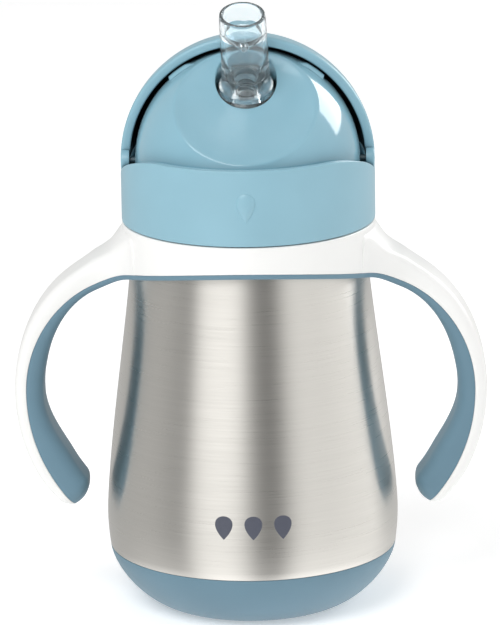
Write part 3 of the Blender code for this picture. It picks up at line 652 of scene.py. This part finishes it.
def blue_thickness(run):
    grow = 2.8 * MM * smoothstep(10 * MM, 42 * MM, run) + 2.6 * MM * smoothstep(50 * MM, 72 * MM, run)
    return 1.25 * MM + 0.65 * MM * smoothstep(0.0, 8 * MM, run) + grow


def arm_faces(run, left):
    """Outer and inner face of the whole arm, measured inwards from the path between the colours."""
    outer = -white_thickness(run, left)
    inner = blue_thickness(run)
    middle = (outer + inner) / 2
    half = (inner - outer) / 2 * tip_shrink(left)
    return middle - half, middle + half


def arm_section(section_frame, side, near, far, corner, crown):
    """Cross-section of one colour: square where the colours meet, well rounded on the far side."""
    point, normal, run, left = section_frame
    half_width = arm_half_width(run, left)
    away = math.copysign(1.0, far - near)
    depth = abs(far - near)
    corner = min(corner, depth * 0.85)
    edge = min(SEAM_EDGE, depth * 0.1)
    outline = [(half_width - edge, near), (half_width - edge * 0.3, near + away * edge * 0.3),
               (half_width, near + away * edge)]
    for angle in spaced(0.0, math.pi / 2, 8):
        outline.append((half_width - corner + corner * math.cos(angle),
                        far - away * (corner - corner * math.sin(angle))))
    flat = half_width - corner
    for share in (0.75, 0.5, 0.25, 0.0):
        outline.append((flat * share, far + away * crown * (1.0 - share ** 2)))
    outline += [(-y, n) for y, n in reversed(outline[:-1])]
    outline += [(half_width * share, near) for share in (-0.6, -0.3, 0.0, 0.3, 0.6)]
    bend = 1.0 - smoothstep(ROOT_START + 1.0 * MM, ROOT_START + ARM_PLAN_FILLET, run)
    section = []
    for y, n in outline:
        lift = bend * SPLIT_FRONT_RISE * (abs(y) / COLLAR_RADIUS) ** 1.3
        if away > 0.0:
            lift *= max(0.0, (far - n) / depth)
        follow = bend * (COLLAR_RADIUS - math.sqrt(COLLAR_RADIUS ** 2 - y ** 2))
        x = point.x + normal.x * n - follow
        section.append(Vector((side * x, y, point.y + normal.y * n + lift)))
    return section


def white_arm(side):
    sections = []
    for section_frame in arm_frames():
        run, left = section_frame[2:]
        outer = arm_faces(run, left)[0]
        if left > TIP_WHITE_END:
            far = max(-outer, COLOUR_SEAM + 0.12 * MM)
            sections.append(arm_section(section_frame, side, COLOUR_SEAM, far, 2.3 * MM,
                                        0.15 * MM * tip_shrink(left)))
    return bare_object(f"white_arm_{side}", loft(sections))


def blue_arm(side):
    sections = []
    for section_frame in arm_frames():
        run, left = section_frame[2:]
        outer, inner = arm_faces(run, left)
        near = max(COLOUR_SEAM, outer)
        sections.append(arm_section(section_frame, side, -near, -inner, 3.6 * MM, 0.1 * MM))
    return bare_object(f"blue_arm_{side}", loft(sections))


def split_height(angle):
    """Height of the line between white and blue round the ring; angle 0 is the front."""
    return SPLIT_SIDE_Z + SPLIT_FRONT_RISE * abs(math.cos(angle)) ** 1.3


def ring(section_at, steps=240):
    sections = []
    for i in range(steps):
        angle = math.tau * i / steps
        across, forward = math.sin(angle), -math.cos(angle)
        sections.append([Vector((r * across, r * forward, z)) for r, z in section_at(angle)])
    return loft(sections, closed=True)


def handle_white():
    def section(angle):
        low = split_height(angle) + COLOUR_SEAM
        return rounded([
            (COLLAR_RADIUS, RING_TOP_Z, 0.5 * MM), (COLLAR_RADIUS, low, SEAM_EDGE),
            (SKIRT_INNER_RADIUS, low, 0.0), (SKIRT_INNER_RADIUS, RING_SEAT_Z, 0.0),
            (RING_INNER_RADIUS, RING_SEAT_Z, 0.0), (RING_INNER_RADIUS, RING_TOP_Z, 0.3 * MM),
        ], steps=3)

    return united(bare_object("handle_white", ring(section)), white_arm(1), white_arm(-1))


def handle_blue():
    def section(angle):
        top = split_height(angle) - COLOUR_SEAM
        low = split_height(angle) - RING_GRIP_HEIGHT
        return rounded([
            (COLLAR_RADIUS, top, SEAM_EDGE), (COLLAR_RADIUS, low, 0.55 * MM),
            (SKIRT_INNER_RADIUS, low, 0.2 * MM), (SKIRT_INNER_RADIUS, top, 0.0),
        ], steps=3)

    return united(bare_object("handle_blue", ring(section)), blue_arm(1), blue_arm(-1))


# ---------------------------------------------------------------- lid

def collar_edge_height(depth):
    share = max(0.0, 1.0 - abs(depth) / COLLAR_DIP_REACH)
    return COLLAR_LIP_Z - COLLAR_DIP * share ** 1.5


def collar():
    """Screw collar, with its wavy lip, the raised drop at the front and the thread inside."""
    def section(angle):
        edge = collar_edge_height(COLLAR_RADIUS * math.cos(angle))
        inner_edge = max(edge, DECK_TOP_Z + 0.1 * MM)
        return rounded([
            (COLLAR_RADIUS, COLLAR_BOTTOM_Z, 0.45 * MM), (COLLAR_RADIUS, edge, 0.35 * MM),
            (COLLAR_LIP_INNER_RADIUS, inner_edge, 0.45 * MM),
            (COLLAR_LIP_INNER_RADIUS, DECK_TOP_Z, 0.03 * MM),
            (DECK_INNER_RADIUS, DECK_TOP_Z, 0.3 * MM), (DECK_INNER_RADIUS, DECK_Z, 0.3 * MM),
            (FEMALE_ROOT_RADIUS, DECK_Z, 0.3 * MM), (FEMALE_ROOT_RADIUS, COLLAR_BOTTOM_Z, 0.4 * MM),
        ])

    def place(u, v, lift):
        angle = u / COLLAR_RADIUS
        radius = COLLAR_RADIUS + lift
        height = COLLAR_DROP_Z + v
        return Vector((radius * math.sin(angle), -radius * math.cos(angle), height))

    outline = drop_outline(5.2 * MM, 7.9 * MM)
    drop = raised_patch(outline, place, -0.1 * MM, COLLAR_DROP_HEIGHT, steps=9, dome=0.75)
    ridge = thread(FEMALE_CREST_RADIUS, FEMALE_ROOT_RADIUS + 0.3 * MM, FEMALE_START_Z)
    return united(bare_object("collar", ring(section)), bare_object("collar_drop", drop),
                  bare_object("collar_thread", ridge))


DOME_CENTRE = Vector((0.0, 0.0, PIVOT_Z))
DISH_AXIS = Vector((0.0, -math.cos(DISH_ELEVATION), math.sin(DISH_ELEVATION)))
MOUTH_AXIS = Vector((0.0, -math.sin(MOUTH_TILT), math.cos(MOUTH_TILT)))
POLE = (MOUTH_BASE - DOME_CENTRE).normalized()
POLE_SIDE = Vector((1.0, 0.0, 0.0))
POLE_UP = POLE.cross(POLE_SIDE)


def dish_distance(direction):
    """Distance from the dome's centre to the dish along a direction."""
    along = direction.dot(DISH_AXIS)
    if along < 0.4:
        return 1.0
    across = math.sqrt(max(0.0, 1.0 - along ** 2))
    distance = DISH_RIM_DISTANCE / along
    for _ in range(12):
        share = distance * across / DISH_RIM_RADIUS
        if share < 1.0:
            depth = DISH_DEPTH * (1.0 - share ** 3)
        else:
            depth = -DISH_DEPTH * 3.0 * (share - 1.0)
        distance += 0.7 * ((DISH_RIM_DISTANCE - depth) / along - distance)
    return distance


def dome_point(direction, inset=0.0):
    """Point of the dome in a direction: the ball or the dish, whichever is nearer, softly joined."""
    dish = dish_distance(direction)
    mix = min(max(0.5 + 0.5 * (DOME_RADIUS - dish) / DISH_EDGE, 0.0), 1.0)
    distance = DOME_RADIUS + (dish - DOME_RADIUS) * mix - DISH_EDGE * mix * (1.0 - mix)
    return DOME_CENTRE + direction * (distance - inset)


def polar(turn, tilt):
    """Direction at an angle tilt from the pole through the well."""
    side = POLE_SIDE * math.cos(turn) + POLE_UP * math.sin(turn)
    return POLE * math.cos(tilt) + side * math.sin(tilt)


def crossing(low, high, test):
    """Angle between low and high where test turns true."""
    for _ in range(26):
        middle = (low + high) / 2
        if test(middle):
            high = middle
        else:
            low = middle
    return (low + high) / 2


def axis_distance(point):
    offset = point - MOUTH_BASE
    return (offset - MOUTH_AXIS * offset.dot(MOUTH_AXIS)).length


def at_mouth_height(point, height):
    """The point moved along the mouthpiece's axis to a height above its base."""
    return point + MOUTH_AXIS * (height - (point - MOUTH_BASE).dot(MOUTH_AXIS))


def at_mouth_radius(point, radius):
    offset = point - MOUTH_BASE
    axial = MOUTH_AXIS * offset.dot(MOUTH_AXIS)
    return MOUTH_BASE + axial + (offset - axial).normalized() * radius


def dome_column(turn):
    """One line of the dome's surface: out of the well, over dish and ball, and back inside."""
    rim_angle = math.asin(DISH_RIM_RADIUS / DOME_RADIUS)
    edge = 0.45 * MM

    def tilt_at(radius, inset=0.0):
        return crossing(0.05, 1.2, lambda t: axis_distance(dome_point(polar(turn, t), inset)) > radius)

    mouth_tilt = tilt_at(WELL_RADIUS + edge)
    corner = dome_point(polar(turn, tilt_at(WELL_RADIUS)))
    start = dome_point(polar(turn, mouth_tilt))
    wall_top = corner - MOUTH_AXIS * edge
    rim = crossing(mouth_tilt, 1.5, lambda t: polar(turn, t).angle(DISH_AXIS) > rim_angle)
    base = crossing(rim, 2.6, lambda t: dome_point(polar(turn, t)).z < DOME_BOTTOM_Z)
    near = min(0.06, (rim - mouth_tilt) * 0.45)

    boss = WELL_FLOOR - 1.8 * MM
    column = [at_mouth_height(at_mouth_radius(wall_top, WELL_BORE), boss)]
    column.append(at_mouth_height(column[0], WELL_FLOOR))
    for radius, height in ((WELL_RADIUS - 0.4 * MM, 0.0), (WELL_RADIUS, 0.4 * MM)):
        column.append(at_mouth_height(at_mouth_radius(wall_top, radius), WELL_FLOOR + height))
    column += [column[-1].lerp(wall_top, share) for share in (0.33, 0.66, 1.0)]
    for share in (0.2, 0.4, 0.6, 0.8):
        rest = 1.0 - share
        column.append(wall_top * rest ** 2 + corner * 2 * share * rest + start * share ** 2)
    tilts = spaced(mouth_tilt, rim - near, 14) + spaced(rim - near, rim + near, 12)[1:]
    tilts += spaced(rim + near, base, 26)[1:]
    column += [dome_point(polar(turn, tilt)) for tilt in tilts]
    inner_base = crossing(rim, 2.6, lambda t: dome_point(polar(turn, t), DOME_WALL).z < DOME_BOTTOM_Z)
    inner_top = tilt_at(WELL_RADIUS + 1.6 * MM, DOME_WALL)
    inner = [dome_point(polar(turn, tilt), DOME_WALL) for tilt in spaced(inner_base, inner_top, 18)]
    column += inner + [at_mouth_height(inner[-1], boss)]
    return column


def pad(side):
    """Low stop with soft edges beside the top of the dome."""
    skin = bmesh.new()
    rows, columns = 16, 10
    top, bottom = [], []
    for i in range(rows + 1):
        along = i / rows
        angle = PAD_ANGLES[0] + (PAD_ANGLES[1] - PAD_ANGLES[0]) * along
        across = Vector((side * math.sin(angle), 0.0, math.cos(angle)))
        ends = smoothstep(0.0, 0.35, along) * smoothstep(1.0, 0.94, along)
        line, under = [], []
        for j in range(columns + 1):
            width = 2.0 * j / columns - 1.0
            swell = ends * (1.0 - abs(width) ** 5) ** 0.6
            offset = Vector((0.0, width * PAD_HALF_WIDTH, 0.0))
            line.append(skin.verts.new(DOME_CENTRE + across * (DOME_RADIUS + PAD_HEIGHT * swell) + offset))
            under.append(skin.verts.new(DOME_CENTRE + across * (DOME_RADIUS - 0.7 * MM) + offset))
        top.append(line)
        bottom.append(under)
    for i in range(rows):
        for j in range(columns):
            skin.faces.new((top[i][j], top[i + 1][j], top[i + 1][j + 1], top[i][j + 1]))
            skin.faces.new((bottom[i][j], bottom[i][j + 1], bottom[i + 1][j + 1], bottom[i + 1][j]))
        for j in (0, columns):
            skin.faces.new((top[i][j], bottom[i][j], bottom[i + 1][j], top[i + 1][j]))
    for i in (0, rows):
        for j in range(columns):
            skin.faces.new((top[i][j], top[i][j + 1], bottom[i][j + 1], bottom[i][j]))
    return skin


def dome():
    columns = [dome_column(math.tau * k / 180) for k in range(180)]
    skin = loft(columns, closed=True)
    for side in (-1, 1):
        merge_meshes(skin, pad(side))
    return bare_object("dome", skin)


def cover():
    """Slice of a hollow ball about the pivot axis, with rounded edges and a boss at each pole."""
    inner_radius = COVER_RADIUS - COVER_WALL
    edge = [(COVER_RADIUS, 1.1), (COVER_RADIUS - 0.06 * MM, 0.62), (COVER_RADIUS - 0.26 * MM, 0.28),
            (COVER_RADIUS - 0.6 * MM, 0.07), (COVER_RADIUS - 1.0 * MM, 0.0),
            (inner_radius + 0.5 * MM, 0.0), (inner_radius + 0.2 * MM, 0.1),
            (inner_radius + 0.04 * MM, 0.28), (inner_radius, 0.6)]
    limit = math.asin(0.8 * PIVOT_BOSS_RADIUS / COVER_RADIUS)
    sections = []
    for p in spaced(limit, math.pi - limit, 120):
        reach = math.sin(p)
        swing = min(1.0 * MM / (COVER_RADIUS * reach), 0.12)
        outline = [(radius, COVER_OPEN_ANGLE + swing * inset) for radius, inset in edge[::-1]]
        start, end = COVER_OPEN_ANGLE + swing * 1.1, COVER_OPEN_ANGLE + COVER_SPAN - swing * 1.1
        outline += [(COVER_RADIUS, lift) for lift in spaced(start, end, 40)[1:-1]]
        outline += [(radius, COVER_OPEN_ANGLE + COVER_SPAN - swing * inset) for radius, inset in edge]
        outline += [(inner_radius, lift) for lift in spaced(end, start, 30)[1:-1]]
        section = []
        for radius, lift in outline:
            away = Vector((0.0, -math.cos(lift), math.sin(lift)))
            section.append(DOME_CENTRE + Vector((math.cos(p) * radius, 0, 0)) + away * reach * radius)
        sections.append(section)
    skin = loft(sections)
    face = math.sqrt(COVER_RADIUS ** 2 - PIVOT_BOSS_RADIUS ** 2)
    for side in (-1, 1):
        turned = Matrix.Translation(DOME_CENTRE) @ Matrix.Rotation(side * math.pi / 2, 4, "Y")
        boss = rounded([(0.0, inner_radius - 2.8 * MM, 0.0), (0.9 * MM, inner_radius - 2.8 * MM, 0.3 * MM),
                        (0.9 * MM, inner_radius + 0.1 * MM, 0.0),
                        (PIVOT_BOSS_RADIUS, inner_radius + 0.1 * MM, 0.2 * MM),
                        (PIVOT_BOSS_RADIUS, face, 0.5 * MM), (0.0, COVER_RADIUS - 0.02 * MM, 0.0)])
        merge_meshes(skin, lathe(boss, 48, turned))
    return bare_object("cover", skin)


# ---------------------------------------------------------------- mouthpiece and straw

def mouth_frame():
    return Matrix.Translation(MOUTH_BASE) @ Matrix.Rotation(MOUTH_TILT, 4, "X")


def leaning(skin):
    """Lean the free part of the soft tube sideways, then set it in its place."""
    for vert in skin.verts:
        vert.co.x -= math.tan(MOUTH_LEAN) * max(0.0, vert.co.z)
    skin.transform(mouth_frame())
    return skin


def mouth_tube():
    """Clear drinking tube: a mouth cavity that ends in a folded cross-slit valve, and the bore."""
    top = MOUTH_LENGTH
    wall = 0.8 * MM
    slope = [(CAVITY_RADIUS * share, VALVE_Z + VALVE_RISE * share) for share in spaced(1.0, 0.0, 14)]
    under = [(BORE_RADIUS * share, VALVE_Z - wall + VALVE_RISE * 0.9 * share)
             for share in spaced(0.0, 1.0, 10)]
    outline = rounded([
        (BELL_RADIUS - 0.3 * MM, TUBE_LOW, 0.0), (BELL_RADIUS, -1.6 * MM, 0.5 * MM),
        (MOUTH_ROOT_RADIUS + 0.1 * MM, 0.7 * MM, 2.2 * MM),
        (MOUTH_TIP_RADIUS, top - 2.0 * MM, 1.0 * MM),
        (MOUTH_TIP_RADIUS - 0.2 * MM, top, 0.6 * MM), (CAVITY_RADIUS + 0.2 * MM, top, 0.3 * MM),
        (CAVITY_RADIUS, top - 1.2 * MM, 0.3 * MM),
    ], steps=6)
    bore = rounded([(*under[-1], 0.0), (BORE_RADIUS + 0.1 * MM, 7.0 * MM, 3.0 * MM),
                    (4.1 * MM, 1.2 * MM, 0.6 * MM), (3.3 * MM, 0.8 * MM, 0.3 * MM),
                    (3.3 * MM, TUBE_LOW, 0.0)], steps=6)
    skin = lathe(outline + slope + under + bore[1:], 192)
    for vert in skin.verts:
        x, y, z = vert.co
        reach = math.hypot(x, y)
        share = reach / CAVITY_RADIUS
        if 0.01 < share < 1.01 and abs(z - VALVE_Z - VALVE_RISE * share * 0.86) < 1.7 * MM:
            if z > VALVE_Z + VALVE_RISE * 0.88 * share - 0.85 * MM:
                fold = (abs(x) + abs(y)) / reach - 1.2
                vert.co.z += VALVE_RISE * 0.22 * fold * share
                if z > VALVE_Z + VALVE_RISE * share * 0.97 - 0.1 * MM:
                    lip = math.exp(-(((abs(x) - 0.6 * MM) / (0.25 * MM)) ** 2))
                    vert.co.z += 0.6 * MM * lip * smoothstep(0.0, 0.15, share) * (1.0 - share ** 4)
    return bare_object("mouth_tube", leaning(skin))


def mouth_flange():
    """Clear flange in the well, with the spigot that goes down to the straw's elbow."""
    rim = WELL_RADIUS - 0.4 * MM
    outline = rounded([
        (4.0 * MM, -11.2 * MM, 0.0), (5.3 * MM, -11.2 * MM, 0.3 * MM), (5.3 * MM, -5.9 * MM, 0.2 * MM),
        (rim, -5.9 * MM, 0.3 * MM), (rim, TUBE_LOW - 0.6 * MM, 0.5 * MM),
        (BELL_RADIUS - 0.2 * MM, TUBE_LOW - 0.05 * MM, 0.3 * MM), (2.7 * MM, TUBE_LOW - 0.05 * MM, 0.0),
        (2.7 * MM, -7.0 * MM, 0.3 * MM), (4.0 * MM, -8.0 * MM, 0.3 * MM),
    ])
    return bare_object("mouth_flange", lathe(outline, 96, mouth_frame()))


def straw():
    rows = 60
    heights = spaced(STRAW_BOTTOM_Z, STRAW_TOP_Z, rows)
    outline = [(STRAW_RADIUS, height) for height in heights]
    outline += [(STRAW_BORE_RADIUS, height) for height in reversed(heights)]
    return bare_object("straw", lathe(outline, 48))


# ---------------------------------------------------------------- pieces

dressed(boot(), blue_grip, "vessel", ("base_boot",))
dressed(shell(), steel, "vessel", ("outer_shell",))
dressed(print_motif(), print_ink, "vessel")
dressed(handle_white(), white_plastic, "vessel", ("handle_frame",))
dressed(handle_blue(), blue_grip, "vessel", ("handle_grip",))
dressed(collar(), blue_collar, "lid", ("lid_collar",))
dressed(dome(), blue_dome_gap_shaded, "lid", ("lid_dome",))
dressed(cover(), blue_lid_gap_shaded, "cover", ("rotating_cover",))
dressed(mouth_flange(), clear_silicone, "lid", ("mouthpiece_base",))

tube = dressed(mouth_tube(), clear_silicone, "mouthpiece", ("mouthpiece_tube",))
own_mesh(tube)

straw_piece = dressed(straw(), clear_silicone, None, ("straw_tube",))
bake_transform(straw_piece)

CARRIED_OVER = {
    "inner_vessel": liner_steel, "shell_bottom": liner_steel, "vacuum_plug": polished_steel,
    "lid_seal": milky_silicone, "vent_valve": milky_silicone, "straw_adaptor": natural_plastic,
    "straw_weight": polished_steel, "straw_inlet": natural_plastic,
}
for node, surface in CARRIED_OVER.items():
    data = frame["nodes"][node].data
    data.materials.clear()
    data.materials.append(surface)


# ---------------------------------------------------------------- studio

def floor():
    """Pale sheet that the cup stands on; it stays out of mirror reflections."""
    skin = bmesh.new()
    bmesh.ops.create_grid(skin, x_segments=8, y_segments=8, size=3.0)
    sheet = bare_object("floor", skin)
    recipe = Recipe("floor_paper", {
        "Roughness": 0.9, "Specular IOR Level": 0.1,
        "Emission Color": (1.0, 1.0, 1.0, 1.0), "Emission Strength": FLOOR_GLOW,
    })
    fibres = recipe.noise(recipe.place, 900.0, detail=3.0)
    recipe.tint(recipe.ranged(fibres, 0.0, 1.0), (0.93, 0.93, 0.93), (0.95, 0.95, 0.95))
    sheet.data.materials.append(recipe.material)
    sheet.visible_glossy = False


def world():
    """White room; mirror reflections see the soft boxes and the gaps between them instead."""
    made = bpy.data.worlds.new("studio")
    bpy.context.scene.world = made
    made.use_nodes = True
    nodes, links = made.node_tree.nodes, made.node_tree.links
    background = nodes["Background"]
    split = nodes.new("ShaderNodeSeparateXYZ")
    links.new(nodes.new("ShaderNodeTexCoord").outputs["Generated"], split.inputs[0])
    back = nodes.new("ShaderNodeMath")
    back.operation = "MULTIPLY"
    back.inputs[1].default_value = -1.0
    links.new(split.outputs["Y"], back.inputs[0])
    azimuth = nodes.new("ShaderNodeMath")
    azimuth.operation = "ARCTAN2"
    links.new(split.outputs["X"], azimuth.inputs[0])
    links.new(back.outputs[0], azimuth.inputs[1])
    share = nodes.new("ShaderNodeMapRange")
    share.inputs["From Min"].default_value = -math.pi
    share.inputs["From Max"].default_value = math.pi
    links.new(azimuth.outputs[0], share.inputs["Value"])
    ramp = nodes.new("ShaderNodeValToRGB")
    ramp.color_ramp.interpolation = "B_SPLINE"
    # azimuth in degrees, 0 behind the camera and 90 on the right, and how bright the room is there
    stops = [(-180, 0.55), (-150, 0.62), (-115, 0.60), (-92, 0.60), (-74, 0.50), (-57, 0.34),
             (-48, 0.85), (-38, 1.08), (-20, 1.08), (-7, 0.84), (6, 0.24), (22, 0.16), (33, 0.76),
             (45, 1.05), (65, 0.98), (85, 1.10), (110, 1.10), (140, 0.80), (180, 0.55)]
    elements = ramp.color_ramp.elements
    elements.remove(elements[1])
    for i, (angle, level) in enumerate(stops):
        position = (angle + 180.0) / 360.0
        element = elements.new(position) if i else elements[0]
        element.position = position
        part = level / BRIGHTEST
        element.color = (part, part, part * 0.985, 1.0)
    links.new(share.outputs["Result"], ramp.inputs["Fac"])
    brighter = nodes.new("ShaderNodeVectorMath")
    brighter.operation = "SCALE"
    brighter.inputs["Scale"].default_value = BRIGHTEST
    links.new(ramp.outputs["Color"], brighter.inputs[0])
    below = nodes.new("ShaderNodeMapRange")
    below.inputs["From Min"].default_value = -0.45
    below.inputs["From Max"].default_value = -0.65
    below.inputs["To Max"].default_value = 0.8
    links.new(split.outputs["Z"], below.inputs["Value"])
    lit = nodes.new("ShaderNodeVectorMath")
    lit.operation = "ADD"
    links.new(brighter.outputs[0], lit.inputs[0])
    links.new(below.outputs["Result"], lit.inputs[1])
    path = nodes.new("ShaderNodeLightPath")
    levels = nodes.new("ShaderNodeMix")
    levels.data_type = "RGBA"
    levels.inputs[6].default_value = (1.0, 1.0, 1.0, 1.0)
    levels.inputs[7].default_value = (AMBIENT, AMBIENT, AMBIENT, 1.0)
    links.new(path.outputs["Is Diffuse Ray"], levels.inputs["Factor"])
    inside = nodes.new("ShaderNodeMath")
    inside.operation = "LESS_THAN"
    inside.inputs[1].default_value = 0.5
    links.new(path.outputs["Transmission Depth"], inside.inputs[0])
    mirror = nodes.new("ShaderNodeMath")
    mirror.operation = "MULTIPLY"
    links.new(path.outputs["Is Glossy Ray"], mirror.inputs[0])
    links.new(inside.outputs[0], mirror.inputs[1])
    pick = nodes.new("ShaderNodeMix")
    pick.data_type = "RGBA"
    links.new(mirror.outputs[0], pick.inputs["Factor"])
    links.new(levels.outputs[2], pick.inputs[6])
    links.new(lit.outputs[0], pick.inputs[7])
    links.new(pick.outputs[2], background.inputs["Color"])


def soft_box(name, azimuth, elevation, distance, size, power, lights="all"):
    """Area light that faces the cup; azimuth 0 is behind the camera and 90 is on the right.

    It lights all surfaces, or only their gloss, or only their matt colour.
    """
    turn, lift = math.radians(azimuth), math.radians(elevation)
    away = Vector((math.sin(turn) * math.cos(lift), -math.cos(turn) * math.cos(lift), math.sin(lift)))
    data = bpy.data.lights.new(name, "AREA")
    data.shape = "RECTANGLE"
    data.size, data.size_y = size
    data.energy = power
    made = bpy.data.objects.new(name, data)
    bpy.context.collection.objects.link(made)
    made.location = LAMP_AIM + away * distance
    made.rotation_euler = away.to_track_quat("Z", "Y").to_euler()
    made.visible_camera = False
    made.visible_diffuse = lights != "gloss"
    made.visible_glossy = lights != "matt"


def camera():
    turn, lift = CAMERA_AZIMUTH, CAMERA_ELEVATION
    away = Vector((math.sin(turn) * math.cos(lift), -math.cos(turn) * math.cos(lift), math.sin(lift)))
    data = bpy.data.cameras.new("camera")
    data.lens = CAMERA_LENS
    data.sensor_width = 36.0
    data.clip_end = 20.0
    made = bpy.data.objects.new("camera", data)
    bpy.context.collection.objects.link(made)
    made.location = CAMERA_ORBIT + away * CAMERA_DISTANCE
    toward = CAMERA_AIM - made.location
    aim = toward.to_track_quat("-Z", "Y").to_matrix().to_4x4()
    made.rotation_euler = (aim @ Matrix.Rotation(-CAMERA_ROLL, 4, "Z")).to_euler()
    bpy.context.scene.camera = made


floor()
world()
soft_box("key", -30.0, 46.0, 1.3, (0.9, 0.7), 10.0)
soft_box("right_rear", 127.0, 24.0, 1.1, (0.66, 0.52), 8.5, lights="gloss")
soft_box("right_fill", 112.0, 24.0, 1.1, (0.66, 0.52), 3.6, lights="matt")
camera()
bpy.context.scene.view_settings.view_transform = "Standard"
